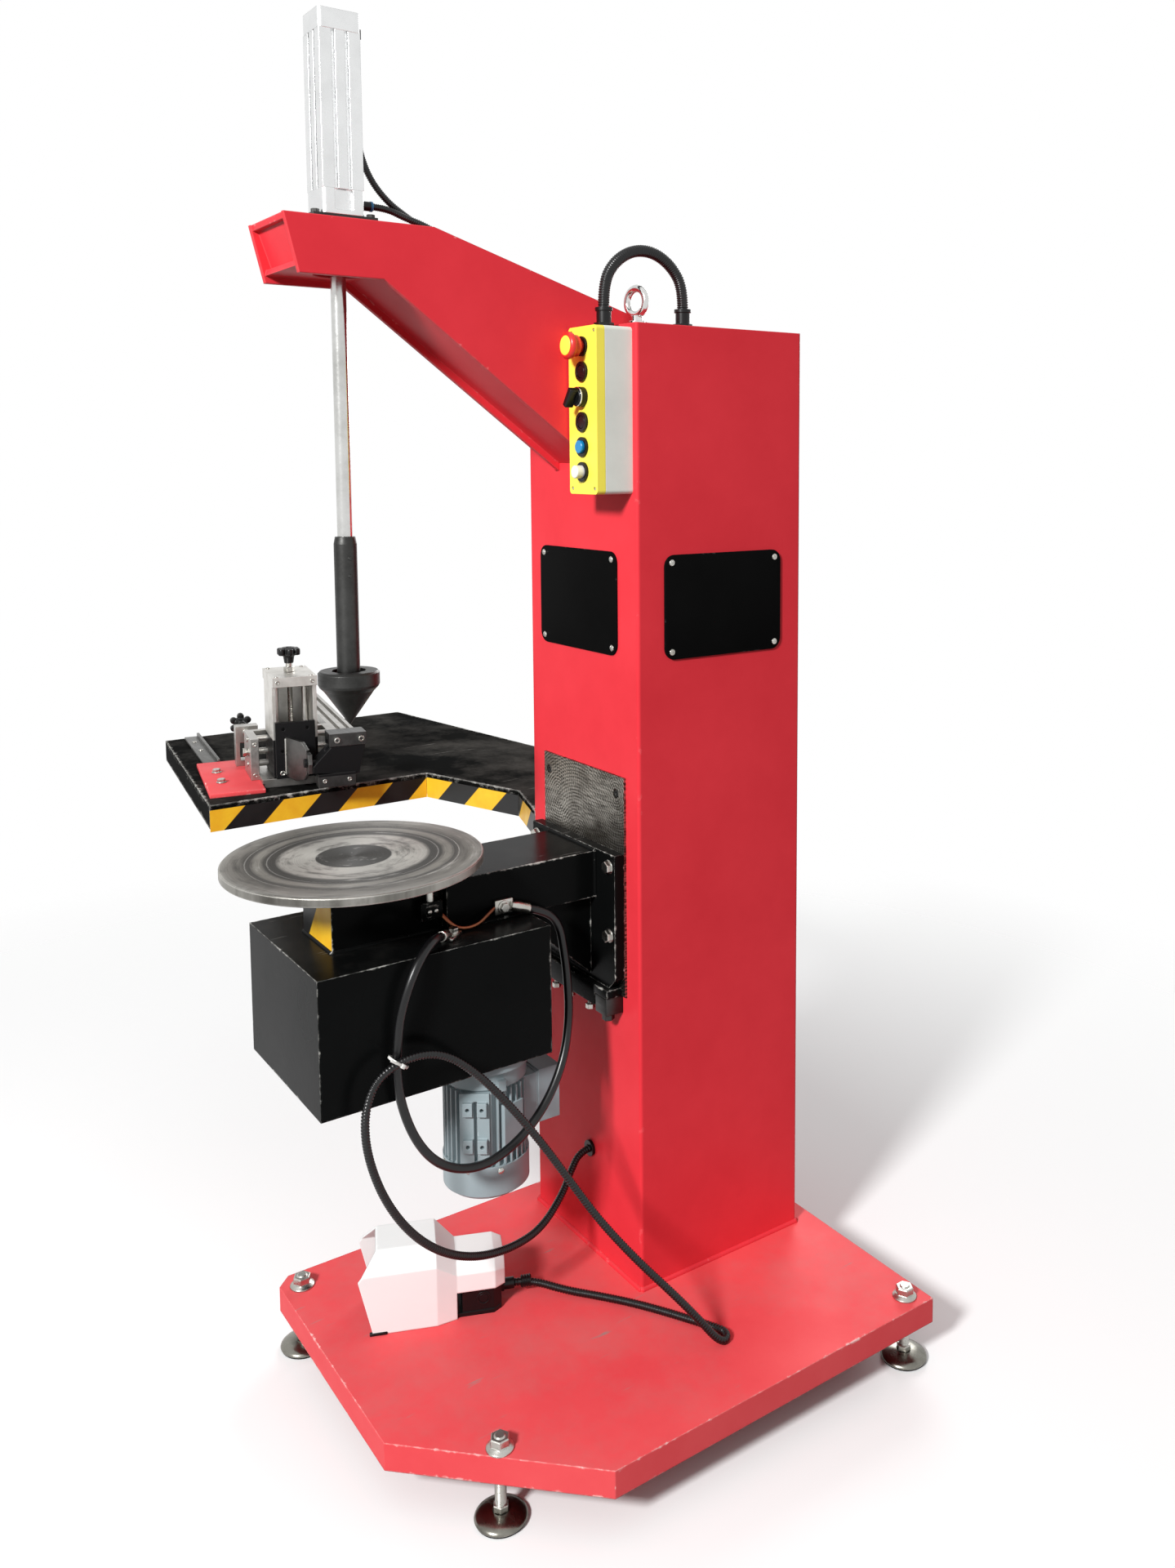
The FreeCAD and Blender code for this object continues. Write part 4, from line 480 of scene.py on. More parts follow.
def table_steel():
    """The turntable: bands worn dark and bright between fine lathe rings; the bright band and the bright arcs
    are partly painted sheen, and the eased rim a painted highlight.
    """
    material, n, shader = finish("table_steel", srgb(105, 102, 98), 0.42, metal=1.0)
    shader["Anisotropic"].default_value = 0.6
    rings = n.use(LATHE_RINGS, **{"Centre X": FOOT.x, "Centre Y": FOOT.y + AXIS_Y * MM, "Pitch": 700.0})
    ramp = n.add("ValToRGB", Fac=n.calc("DIVIDE", rings["Reach"], TABLE_RADIUS))
    while len(ramp.color_ramp.elements) < len(TABLE_BANDS_AND_SHEEN):
        ramp.color_ramp.elements.new(0.5)
    for element, (place, shade) in zip(ramp.color_ramp.elements, TABLE_BANDS_AND_SHEEN):
        element.position = place
        element.color = srgb(*shade)
    tone = n.mix(n.span(rings["Ring"], 0.3, 0.75, 0.0, 0.35), ramp.outputs[0], srgb(45, 43, 40))
    tone = n.mix(n.span(rings["Arc"], 0.5, 0.68, 0.0, 0.75), tone, srgb(48, 44, 38))
    # Bright arcs round the axis: partly scratches, partly a painted sheen.
    tone = n.mix(n.span(rings["Arc"], 0.42, 0.3, 0.0, 0.5), tone, srgb(186, 184, 178))
    smear = n.noise(n.spot(), 34.0, 5.0, 0.7)
    tone = n.mix(n.span(smear, 0.52, 0.72, 0.0, 0.45), tone, srgb(52, 48, 43))
    # Painted highlight: the turntable's eased edges along its rim are painted near white.
    rim = n.use(EDGE_WEAR, Radius=0.0034, Amount=0.2)
    n.feed(shader["Base Color"], n.mix(n.calc("MULTIPLY", rim["Rub_And_Highlight"], 0.9), tone, srgb(226, 224, 218)))
    n.feed(shader["Roughness"], n.span(rings["Ring"], 0.2, 0.8, 0.34, 0.52))
    n.feed(shader["Normal"], n.bump(rings["Ring"], 0.15, 0.0003, rim["Normal"]))
    n.feed(shader["Tangent"], n.add("Tangent", {"direction_type": "RADIAL", "axis": "Z"}).outputs[0])
    return material


# The milled seat's cutter centres on its front face, with the rings to a metre round each.
SEAT_FRONT = -164
CUTTER_MARKS = ((-72, 752, 210.0), (103, 786, 230.0), (-10, 690, 190.0))


def swirl_steel():
    """The milled seat: overlapping circular cutter marks on dull steel."""
    material, n, shader = finish("swirl_steel", srgb(112, 108, 102), 0.42, metal=1.0)
    where = n.spot()
    total = None
    for x, z, pitch in CUTTER_MARKS:
        centre = COLUMN @ (Vector((x, SEAT_FRONT, z)) * MM)
        offset = n.add("VectorMath", {"operation": "DISTANCE"})
        n.feed(offset.inputs[0], where)
        offset.inputs[1].default_value = centre
        wave = n.calc("SINE", n.calc("MULTIPLY", offset.outputs["Value"], pitch * math.tau))
        total = wave if total is None else n.calc("ADD", total, wave)
    patch = n.noise(where, 9.0, 4.0, 0.6)
    cutter = n.use(MACHINED, Along=26.0, Across=380.0)
    scratch = n.span(cutter["Streak"], 0.2, 0.8, -1.3, 1.3)
    marks = n.span(n.calc("MULTIPLY_ADD", total, patch, scratch), -1.2, 1.2)
    tone = n.mix(n.span(marks, 0.2, 0.85), srgb(62, 58, 52), srgb(172, 168, 160))
    stain = n.span(cutter["Stain"], 0.48, 0.68, 0.0, 0.6)
    n.feed(shader["Base Color"], n.mix(stain, tone, srgb(66, 60, 52)))
    n.feed(shader["Roughness"], n.span(marks, 0.0, 1.0, 0.52, 0.3))
    n.feed(shader["Normal"], n.bump(marks, 0.45, 0.0003))
    return material


BAR_WIDTH = 0.0695


def hazard_tape():
    """Yellow and black slanting bars, from the tape's own map in metres, with dark scuffs."""
    material, n, shader = finish("hazard_tape", srgb(240, 178, 38), 0.42)
    flat = n.add("SeparateXYZ", Vector=n.add("UVMap", {"uv_map": "tape"}).outputs[0]).outputs
    lean = n.calc("SUBTRACT", flat[0], flat[1])
    bars = n.calc("PINGPONG", n.calc("DIVIDE", lean, BAR_WIDTH), 1.0)
    yellow = n.span(bars, 0.49, 0.51)
    skin = n.use(PAINT_SKIN, Grain=500.0, Cloud=26.0)
    clean = n.mix(n.span(skin["Mottle"], 0.3, 0.75), srgb(253, 204, 48), srgb(240, 176, 34))
    tone = n.mix(yellow, srgb(17, 17, 17), clean)
    scuff = n.span(skin["Mottle"], 0.72, 0.76, 0.0, 0.7)
    n.feed(shader["Base Color"], n.mix(scuff, tone, srgb(30, 29, 28)))
    n.feed(shader["Roughness"], n.span(skin["Mottle"], 0.2, 0.8, 0.34, 0.5))
    n.feed(shader["Normal"], n.bump(skin["Peel"], 0.08, 0.0003))
    return material


RED = painted("red_paint", srgb(233, 59, 69), srgb(222, 52, 62), 0.42, 260.0, 0.05,
              srgb(242, 132, 134), 0.12, 0.0025, dust=0.12, specular=0.1)
# The base plate's red is paler and carries heavier dust on its top faces: partly real dust, partly a painted
# sheen where the top faces catch the white surround.
DUSTY_SHEEN_RED = painted("dusty_sheen_red", srgb(238, 88, 92), srgb(230, 74, 80), 0.5, 260.0, 0.05,
                    srgb(250, 206, 202), 0.42, 0.0025, dust=0.2, specular=0.1, rub=0.12)
BLACK = painted("black_paint", srgb(9, 10, 10), srgb(14, 15, 15), 0.24, 190.0, 0.14,
                srgb(205, 204, 198), 0.5, 0.0022, dust=0.05, specular=0.035, rub=0.03)
DECK = painted("deck_paint", srgb(11, 12, 12), srgb(20, 20, 19), 0.4, 170.0, 0.2,
               srgb(205, 204, 198), 0.78, 0.0042, dust=0.2, specular=0.0006, rub=0.03)
MOTOR = painted("motor_grey", srgb(158, 172, 176), srgb(142, 156, 161), 0.4, 420.0, 0.08,
                srgb(190, 200, 203), 0.1, 0.0014, specular=0.4)
HOOD = painted("white_paint", srgb(246, 247, 246), srgb(239, 240, 239), 0.42, 380.0, 0.05,
               srgb(250, 250, 250), 0.05, 0.003, specular=0.45)
BADGE = painted("badge_black", srgb(12, 12, 12), srgb(17, 17, 17), 0.42, 700.0, 0.08,
                srgb(70, 70, 68), 0.2, 0.0012, specular=0.004, rub=0.2)
ALUMINIUM = raw_metal("aluminium", srgb(196, 194, 190), srgb(158, 155, 149), 0.36, turn=11.0)
BARREL = raw_metal("barrel_aluminium", srgb(232, 233, 233), srgb(220, 221, 221), 0.3, across=180.0)
ZINC = raw_metal("zinc_steel", srgb(196, 195, 190), srgb(160, 157, 148), 0.3, across=120.0, along=90.0)
CHROME = raw_metal("chrome", srgb(226, 226, 224), srgb(200, 200, 198), 0.14, streak=0.05)
PAD = raw_metal("pad_steel", srgb(146, 144, 136), srgb(84, 82, 75), 0.24, along=40.0, across=60.0)
ROD = raw_metal("rod_steel", srgb(216, 216, 214), srgb(186, 186, 183), 0.2, streak=0.06)
PLATE = raw_metal("grey_steel", srgb(126, 126, 124), srgb(92, 91, 88), 0.46, turn=8.0)
OXIDE = raw_metal("black_oxide", srgb(70, 70, 69), srgb(50, 50, 49), 0.44, across=320.0)
COPPER = raw_metal("copper", srgb(146, 88, 62), srgb(94, 60, 46), 0.38)
CARRIER = half_black("carrier_steel", srgb(104, 104, 102), srgb(74, 73, 71), (RIGHT, 54.2))
CLAMP = half_black("clamp_steel", srgb(92, 92, 91), srgb(66, 66, 65), (UP, 84.8), (DOWN, -31.8))
POST = half_black("post_aluminium", srgb(222, 220, 215), srgb(186, 183, 176), (UP, 88.2))
TABLE = table_steel()
SWIRL = swirl_steel()
TAPE = hazard_tape()
YELLOW = moulded("yellow_plastic", srgb(254, 238, 86), 0.4, tint=0.95)
GREY = moulded("grey_plastic", srgb(228, 230, 222), 0.52, 700.0, 0.12)
BLACK_PLASTIC = moulded("black_plastic", srgb(14, 14, 15), 0.34, specular=0.3)
RED_PLASTIC = moulded("red_plastic", srgb(222, 46, 40), 0.34)
BLUE_PLASTIC = moulded("blue_plastic", srgb(16, 134, 196), 0.28)
WHITE_PLASTIC = moulded("white_plastic", srgb(236, 235, 230), 0.34)
CORD = moulded("cord_black", srgb(13, 13, 14), 0.3, 500.0, 0.06, specular=0.4)
RUBBER = moulded("belt_rubber", srgb(24, 24, 24), 0.68, specular=0.3)

NODE_FINISH = {
    RED: ("column", "arm"),
    DUSTY_SHEEN_RED: ("base_plate",),
    BLACK: ("bracket", "spindle_housing", "casing", "casing_floor"),
    DECK: ("platform",),
    MOTOR: ("motor_frame", "terminal_box", "fan_cover", "gear_unit"),
    HOOD: ("pedal_hood",),
    ALUMINIUM: ("feed_block", "slide_rail", "cross_frame"),
    POST: ("cross_carriage",),
    CARRIER: ("lift_carriage",),
    CLAMP: ("torch_clamp",),
    BARREL: ("cylinder_barrel",),
    ZINC: ("cross_screw", "spindle_bearings", "drive_pulley", "spindle"),
    CHROME: ("eye_bolt",),
    ROD: ("tailstock_rod", "motor_rotor"),
    OXIDE: ("cylinder_flange", "tailstock_sleeve", "live_centre"),
    TABLE: ("turntable",),
    SWIRL: ("milled_plate",),
    YELLOW: ("control_lid",),
    GREY: ("control_box", "contact_blocks"),
    BLACK_PLASTIC: ("air_fittings", "button_collars", "black_button_upper", "black_button_lower",
                    "cable_glands", "pedal_base", "pedal_treadle"),
    BLUE_PLASTIC: ("blue_button",),
    WHITE_PLASTIC: ("white_button",),
    RUBBER: ("drive_belt",),
}
for material, names in NODE_FINISH.items():
    for name in names:
        NODES[name].data.materials.clear()
        NODES[name].data.materials.append(material)

# Cords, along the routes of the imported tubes, in millimetres from the column's foot.

ARCH = ((114, -186, 1523), (114, -186, 1560), (114, -166, 1592), (114, -133, 1611), (114, -95, 1611),
        (114, -62, 1592), (114, -42, 1562), (114, -42, 1529))
LOWER_HOSE = ((0, -496, 1652), (0, -474, 1652), (4, -448, 1641), (9, -422, 1633), (13, -397, 1620),
              (14, -371.6, 1609.9), (14, -345.8, 1602))
UPPER_HOSE = ((-20, -506.5, 1866.5), (-20, -506.5, 1836.5), (-21, -508, 1798.5), (-19, -508, 1762.5),
              (-15, -505, 1726.5), (-9, -494, 1691.5), (-5, -471, 1662.5), (-8, -440, 1644.5),
              (-14, -405, 1628.5), (-22, -371.6, 1609.9), (-22, -345.8, 1602))
EARTH = ((82.5, -307.8, 627.7), (87, -279.7, 618.4), (88, -260, 596), (91, -254, 560), (98, -252, 515),
         (110, -256, 458), (126, -276, 398), (141, -317, 345), (152, -373, 308), (159, -436, 294),
         (161, -497, 317), (159, -537, 371), (154.6, -558, 448), (154.4, -554, 524), (157, -549, 556),
         (158, -538, 589), (154, -523, 614), (144, -504, 630), (133, -485.2, 636.7), (120.3, -470.6, 631.5))
CONDUIT = ((14, -165, 172), (15, -184, 170), (28, -207, 155), (51, -238, 134), (82, -294, 114),
           (106, -356, 119), (128, -424, 140), (146, -487, 178), (159, -541, 232), (166, -582, 298),
           (170, -606, 366), (170.5, -612, 420), (169.5, -602, 462), (167.8, -579, 484), (166.8, -537, 494),
           (169, -494, 486), (176, -452, 452), (188, -408, 398), (203, -364, 334), (222, -328, 272),
           (246, -292, 208), (276, -246, 144), (304, -198, 86), (322, -166, 44), (331, -147, 17),
           (335, -134, 6.3), (330, -122, 6.3), (317, -118, 6.3), (298, -127, 6.3), (268, -143, 6.3),
           (226, -166, 6.3), (180, -194, 6.3), (134, -228, 6.3), (96, -262, 8), (53.85, -299, 17),
           (43.65, -322.9, 17))
BRAID = ((64, -446, 646), (82, -436, 628), (84, -416, 620), (84, -394, 622), (80, -376, 632),
         (73.5, -362, 637))
RIB_STEPS = 4


def route(name, points):
    """A smooth curve with the route's points as its control points, in metres."""
    curve = bpy.data.curves.new(name, "CURVE")
    curve.dimensions = "3D"
    spline = curve.splines.new("NURBS")
    spline.points.add(len(points) - 1)
    for point, spot in zip(spline.points, points):
        point.co = (*(COLUMN @ (Vector(spot) * MM)), 1.0)
    spline.order_u = 3
    spline.use_endpoint_u = True
    spline.resolution_u = 24
    return link(name, curve)


def smooth_cord(name, points, radius, node, material):
    """A plain round cable along its route."""
    obj = route(name, points)
    obj.data.bevel_depth = radius * MM
    obj.data.bevel_resolution = 6
    obj.data.use_fill_caps = True
    obj.data.materials.append(material)
    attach(obj, "frame")
    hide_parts(node)


def walk(points, step):
    """Points at even steps along a line of points."""
    spots = [points[0]]
    left = step
    for a, b in zip(points, points[1:]):
        run = (b - a).length
        while left <= run:
            spots.append(a.lerp(b, left / run))
            left += step
        left -= run
    return spots


def cord_tie():
    """The strap round the two cords where they cross, with its head and tail."""
    place = seat(161, -557, 488, (0, 0.6, 0.8))
    strap = lathe(((14.3, -1.8), (15.7, -1.8), (15.7, 1.8), (14.3, 1.8)), 48)
    head = slab((13.5, -3, -3), (5, 6, 6), 0.8)
    tail = slab((16, -22, -1.6), (1.2, 20, 3.2), 0.3)
    tie = [(strap, place), (head, place), (tail, place)]
    return piece("cord_tie", tie, "frame", WHITE_PLASTIC, ("cable_tie",))


def ribbed_cord(name, points, radius, node, pitch, depth, carried=()):
    """A corrugated conduit: rings of two radii along the line read from its route."""
    line = route(name + "_line", points)
    bpy.context.view_layer.update()
    held = bpy.data.meshes.new_from_object(line)
    spine = [v.co.copy() for v in held.vertices]
    bpy.data.meshes.remove(held)
    spots = walk(spine, pitch * MM / RIB_STEPS)
    line.data.splines.clear()
    ribs = line.data.splines.new("POLY")
    ribs.points.add(len(spots) - 1)
    for k, (point, spot) in enumerate(zip(ribs.points, spots)):
        point.co = (*spot, 1.0)
        point.radius = 1.0 if k % RIB_STEPS < RIB_STEPS / 2 else 1.0 - depth / radius
    line.data.bevel_depth = radius * MM
    line.data.bevel_resolution = 3
    line.data.use_fill_caps = True
    bpy.context.view_layer.update()
    mesh = bpy.data.meshes.new_from_object(line)
    mesh.name = name
    mesh.materials.clear()
    mesh.materials.append(CORD)
    mesh.shade_smooth()
    bpy.data.objects.remove(line)
    obj = link(name, mesh)
    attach(obj, "frame")
    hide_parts(node)


ribbed_cord("box_conduit", ARCH, 9, "conduit_arch", 3.6, 1.0)
ribbed_cord("lower_air_hose", LOWER_HOSE, 5, "air_hoses", 3.0, 0.7)
ribbed_cord("upper_air_hose", UPPER_HOSE, 5, "air_hoses", 3.0, 0.7)
ribbed_cord("pedal_lead", CONDUIT, 6, "pedal_conduit", 4.4, 1.0, [cord_tie()])
smooth_cord("earth_lead", EARTH, 6.5, "earth_cable", CORD)

# Welds, plates and fasteners of the frame

RIPPLE = 3.0


def weld(start, end, radius):
    """A rippled bead from one point to another."""
    run = Vector(end) - Vector(start)
    count = int(run.length / RIPPLE)
    profile = [(0, 0)]
    for k in range(count + 1):
        swell = 1.0 if k % 2 else 0.86
        profile.append((radius * swell, run.length * k / count))
    profile.append((0, run.length))
    return lathe(profile, 10), seat(*start, run)


def column_welds():
    """Beads round the column's foot, up the arm's sides and along the platform's edge."""
    half, proud = COLUMN_HALF, COLUMN_HALF + 1
    ends = [(-half, -half), (half, -half), (half, half), (-half, half)]
    beads = [weld((*a, 1), (*b, 1), 5) for a, b in zip(ends, ends[1:] + ends[:1])]
    for side in (-ARM_HALF, ARM_HALF):
        beads.append(weld((side, -proud, ARM_LOW), (side, -proud, ARM_HIGH), 4))
    beads.append(weld((-proud, 3 - half, DECK_TOP), (-proud, half - 3, DECK_TOP), 4))
    piece("column_welds", beads, "frame", RED, crease=80)


def bracket_welds():
    """Beads where the bracket's beam meets its flange, and round what stands on the casing."""
    half, proud = BEAM_HALF, FLANGE_FACE - 1
    beads = [weld((-half, proud, BEAM_TOP), (half, proud, BEAM_TOP), 4)]
    for side in (-half, half):
        beads.append(weld((side, proud, CASING_TOP + 1), (side, proud, BEAM_TOP), 4))
        beads.append(weld((side, CASING_BACK + 1, CASING_TOP), (side, BEAM_END, CASING_TOP), 3))
    right, left = (HOUSING_HALF, HOUSING_FRONT), (-HOUSING_HALF, HOUSING_FRONT)
    for start, end in ((right, (right[0], BEAM_END)), (left, right), (left, (left[0], BEAM_END))):
        beads.append(weld((*start, CASING_TOP), (*end, CASING_TOP), 4))
    piece("bracket_welds", beads, "frame", BLACK, crease=80)


BADGE_SIZE, BADGE_CORNER = (228, 160, 3), 18
BADGE_HOLES = [(x, y) for x in (-101.2, 101.2) for y in (-68.3, 68.3)]


def badge():
    """A bare plate with rounded corners and a softly eased rim."""
    wide, high, thick = BADGE_SIZE
    bm = slab((-wide / 2, -high / 2, 0), BADGE_SIZE)
    level = level_edges(bm)
    soften(bm, [e for e in bm.edges if e not in level], BADGE_CORNER, 8)
    soften(bm, top_edges(bm, thick), 0.6)
    return bm


def badges():
    places = (seat(-8, -COLUMN_HALF, 1080, FRONT), seat(COLUMN_HALF, 2.3, 1076, RIGHT) @ turned(90))
    plates = [(badge(), place) for place in places]
    piece("bare_badges", plates, "frame", BADGE, ("badge_plates",))
    screws = [(pan_screw(5.2, 2.2), place @ shift(x, y, BADGE_SIZE[2]))
              for place in places for x, y in BADGE_HOLES]
    piece("badge_screws", screws, "frame", ZINC, ("badge_plates",))


# A levelling foot from the floor up: its profiles, and the heights of its stem and nuts.
FEET = ((318, -495), (-170, -585), (412, 164), (-177, 164))
FLOOR = -FOOT.z / MM
DOME = ((0, 13), (10, 13), (11.5, 14.2), (13, 14), (20, 13), (28, 11), (33, 8.8), (35.4, 6.6), (36, 5),
        (35.4, 3.6), (33, 3), (0, 3))
SOLE = ((0, 0), (33, 0), (34, 0.8), (34, 3.2), (0, 3.2))
SKIRT = ((8, 0), (18.4, 0), (19, 0.8), (18.6, 2.4), (13.4, 6.4), (8, 6.4))
STEM_LOW, STEM_TOP = 12, 120
LOCK_NUT, SKIRT_LOW, TOP_NUT = 14, 101, 104


def feet():
    domes, soles, stems = [], [], []
    for x, y in FEET:
        place = seat(x, y, FLOOR)
        domes.append((lathe(DOME, 48), place))
        soles.append((lathe(SOLE, 48), place))
        stem = [(0, STEM_LOW), *thread(STEM_LOW, STEM_TOP - 1, 8), (6.4, STEM_TOP), (0, STEM_TOP)]
        stems.append((lathe(stem, 24), place))
        stems.append((hexhead(19, 9), place @ shift(0, 0, LOCK_NUT)))
        stems.append((lathe(SKIRT, 36), place @ shift(0, 0, SKIRT_LOW)))
        stems.append((hexhead(24, 14), place @ shift(0, 0, TOP_NUT)))
    piece("pad_domes", domes, "frame", PAD, ("foot_pads",))
    piece("pad_soles", soles, "frame", RUBBER, ("foot_pads",))
    piece("threaded_stems", stems, "frame", ZINC, ("foot_stems",))


WASHER = 2


def bolt(x, y, z, across, axis, base=COLUMN, washer=1.3):
    """A washer, in widths of the head, and a hexagon head on a face."""
    place = seat(x, y, z, axis, base)
    lift = place @ shift(0, 0, WASHER)
    return [(disc(across * washer / 2, WASHER, 0.4), place), (hexhead(across, across * 0.42), lift)]


JACK_X, JACK_Y, JACK_FRONT, SHANK_LOW = 98, -178, -192, 432


def hanging_screw(x, z, across, height, radius, length):
    """A hexagon screw that hangs under the bracket's flange, its shank going up."""
    return [(hexhead(across, height), seat(x, JACK_Y, z, DOWN)),
            (stud(length, radius), seat(x, JACK_Y, SHANK_LOW))]


def bracket_bolts():
    parts = []
    for x in (-110, 110):
        for z in (566, 675):
            parts += bolt(x, FLANGE_FACE, z, 17, FRONT)
    for x in (-59.5, -15.5, 45):
        parts += hanging_screw(x, 434, 13, 8, 4, 16)
    piece("bracket_fasteners", parts, "frame", ZINC, ("bracket_bolts",))
    block = slab((JACK_X - 16, JACK_FRONT, 438), (32, 32, 28), 1.5)
    jack = [(block, COLUMN), *hanging_screw(JACK_X, 435, 17, 9, 5, 46)]
    piece("jack_block", jack, "frame", OXIDE, ("bracket_bolts",))
    bar = [(slab((-112, JACK_FRONT, 446), (192, 28, 34), 1.2), COLUMN)]
    bar.append((slab((78, JACK_FRONT, 466.2), (38, 28, 13.8), 1.2), COLUMN))
    piece("jack_bar", bar, "frame", BLACK)
    seats = [(socket_screw(6, 3), seat(x, -COLUMN_HALF - 0.4, 786, FRONT)) for x in (-100, 103)]
    piece("seat_screws", seats, "frame", OXIDE)


column_welds()
bracket_welds()
badges()
feet()
bracket_bolts()

# Control box devices

DEVICE_X, LID_FACE, FIRST_DEVICE, DEVICE_PITCH = 111.5, -222.5, 1465.0, 36.6
SELECTOR_Z = FIRST_DEVICE - 2 * DEVICE_PITCH
LID_LEFT, LID_LOW = 73, 1249
MUSHROOM = ((0, 0), (9, 0), (9, 24.6), (14.8, 24.8), (15.8, 25.8), (16, 33), (18.2, 34.4), (19.7, 36.4),
            (20, 39), (19.3, 41.6), (17.5, 43.6), (15.6, 44.4), (14.8, 43.9), (0, 43.9))
INSERT = ((0, 45.5), (10, 45.3), (13.8, 44.7), (14.6, 43.8), (0, 43.8))
BEZEL = ((12.9, 9), (14.2, 9), (14.7, 10), (14.2, 11.4), (13.1, 11.4))
KNOB_BARREL = ((0, -15), (9, -15), (9, 9.2), (12.4, 9.4), (12.5, 12.6), (11.6, 13.4), (0, 13.4))


def emergency_stop():
    place = seat(DEVICE_X, LID_FACE + 15, FIRST_DEVICE, FRONT)
    head, cap = lathe(MUSHROOM, 48), lathe(INSERT)
    piece("stop_mushroom", [(head, place)], "estop", RED_PLASTIC, ("estop_button",))
    piece("stop_insert", [(cap, place)], "estop", YELLOW, ("estop_button",))


def selector_knob():
    place = seat(DEVICE_X, LID_FACE, SELECTOR_Z, FRONT)
    piece("selector_bezel", [(lathe(BEZEL), place)], "frame", CHROME)
    lever = COLUMN @ shift(DEVICE_X, LID_FACE, SELECTOR_Z) @ turned(35, "Y")
    grip = slab((-4.5, -27, -17), (9, 14, 30), 1.6, 3)
    knob = [(lathe(KNOB_BARREL), place), (grip, lever)]
    piece("selector_knob", knob, "selector", BLACK_PLASTIC, ("selector",))


def lid_screws():
    spots = [(LID_LEFT + dx, LID_LOW + dz) for dx in (8, 69) for dz in (8, 237)]
    heads = [(pan_screw(2.7, 1.1), seat(x, LID_FACE + 1.4, z, FRONT)) for x, z in spots]
    piece("lid_screws", heads, "frame", ZINC)


emergency_stop()
selector_knob()
lid_screws()

# Torch slide: plates, screws and hand knobs

FOOT_PLATE, STRIP_THICK, STRIP_LONG = 8, 5, 283
FEED_AXIS, LIFT_AXIS = (-188, -68.5, 75), (-10, 0)
LOBES, LOBE_REACH = 6, 15.5
HUB = ((0, 0), (8, 0), (8.6, 2), (10, 12), (13, 15), (14, 17), (14, 26.6), (12, 29.4), (6.5, 30),
       (6, 28.6), (0, 28.6))


def slide_plates():
    plate = [(slab((-185, -156, 0), (263, 96, FOOT_PLATE), 1.0), SLIDE)]
    piece("red_foot_plate", plate, "frame", DUSTY_SHEEN_RED, ("slide_base",))
    strip = [(slab((-STRIP_LONG, -30, 0), (STRIP_LONG, 30, STRIP_THICK), 0.6), STRIP)]
    strip.append((slab((-STRIP_LONG, -5, STRIP_THICK), (STRIP_LONG, 5, 7), 0.6), STRIP))
    piece("guide_strip", strip, "frame", PLATE, ("slide_base",))
    heads = []
    for x in (-90, -5):
        heads += bolt(x, -128, FOOT_PLATE, 13, UP, SLIDE, 1.38)
    heads += [(pan_screw(5, 2.6), seat(x, -18, STRIP_THICK, UP, STRIP)) for x in (-220, -130)]
    piece("foot_plate_bolts", heads, "frame", ZINC, ("slide_base",))


def star_knob(place):
    """A hand knob with rounded lobes on a tapered hub."""
    parts = [(lathe(HUB, 32), place)]
    for k in range(LOBES):
        parts.append((disc(6.5, 13, 2.6, 24), place @ turned(360 * k / LOBES) @ shift(LOBE_REACH, 0, 15)))
    return parts


def hand_screws():
    knob = star_knob(seat(*FEED_AXIS, LEFT, SLIDE))
    piece("feed_knob", knob, "feed_screw", BLACK_PLASTIC, ("feed_screw",))
    spindle = [(0, 0), (6, 0), (6, 66), *thread(66, 150, 5), (0, 151)]
    screw = [(lathe(spindle, 24), seat(*FEED_AXIS, RIGHT, SLIDE))]
    piece("feed_thread", screw, "feed_screw", ZINC, ("feed_screw",))
    knob = star_knob(seat(*LIFT_AXIS, 222, UP, SLIDE))
    piece("lift_knob", knob, "lift_screw", BLACK_PLASTIC, ("lift_screw",))
    spindle = [(0, 0), *thread(0, 164, 5), (6, 165), (6, 205), (0, 205)]
    screw = [(lathe(spindle, 24), seat(*LIFT_AXIS, 18.5, UP, SLIDE))]
    screw.append((hexhead(17, 9), seat(*LIFT_AXIS, 206, UP, SLIDE)))
    piece("lift_thread", screw, "lift_screw", ZINC, ("lift_screw",))


def carrier_weld(start, end):
    """A small bead on the torch carrier, in the slide's own frame."""
    shape, place = weld(start, end, 2.6)
    return shape, SLIDE @ COLUMN.inverted() @ place


def slide_screws():
    rods = [(socket_screw(5, 2), seat(-36, -76, z, FRONT, SLIDE)) for z in (31, 78)]
    rods += [(socket_screw(4, 1.5), seat(5, y, z, RIGHT, SLIDE)) for y in (-68.5, 75.5) for z in (17, 75)]
    piece("cross_frame_screws", rods, "feed_slide", ZINC)
    top = [(socket_screw(4, 1.5), seat(x, y, 205, UP, SLIDE)) for x in (-66, 46) for y in (-31, 31)]
    top += [(socket_screw(4, 1.5), seat(56, y, 196, RIGHT, SLIDE)) for y in (-31, 31)]
    piece("lift_post_screws", top, "cross_slide", ZINC)
    plate = [(socket_screw(5, 3), seat(54, -26, 27.5, RIGHT, SLIDE))]
    plate += [carrier_weld((54.6, y, 25), (54.6, y, 92)) for y in (-19.4, -10.6)]
    piece("adapter_screw", plate, "lift_slide", ZINC)
    clamp = [(socket_screw(5.4, 6.5), seat(132, y, 97, RIGHT, SLIDE)) for y in (59, 102)]
    clamp += [(socket_screw(4, 1.5), seat(134, y, 24, RIGHT, SLIDE)) for y in (36, 80)]
    piece("clamp_screws", clamp, "clamp", ZINC)


slide_plates()
hand_screws()
slide_screws()

# Earth return: brush holder, lugs and braid

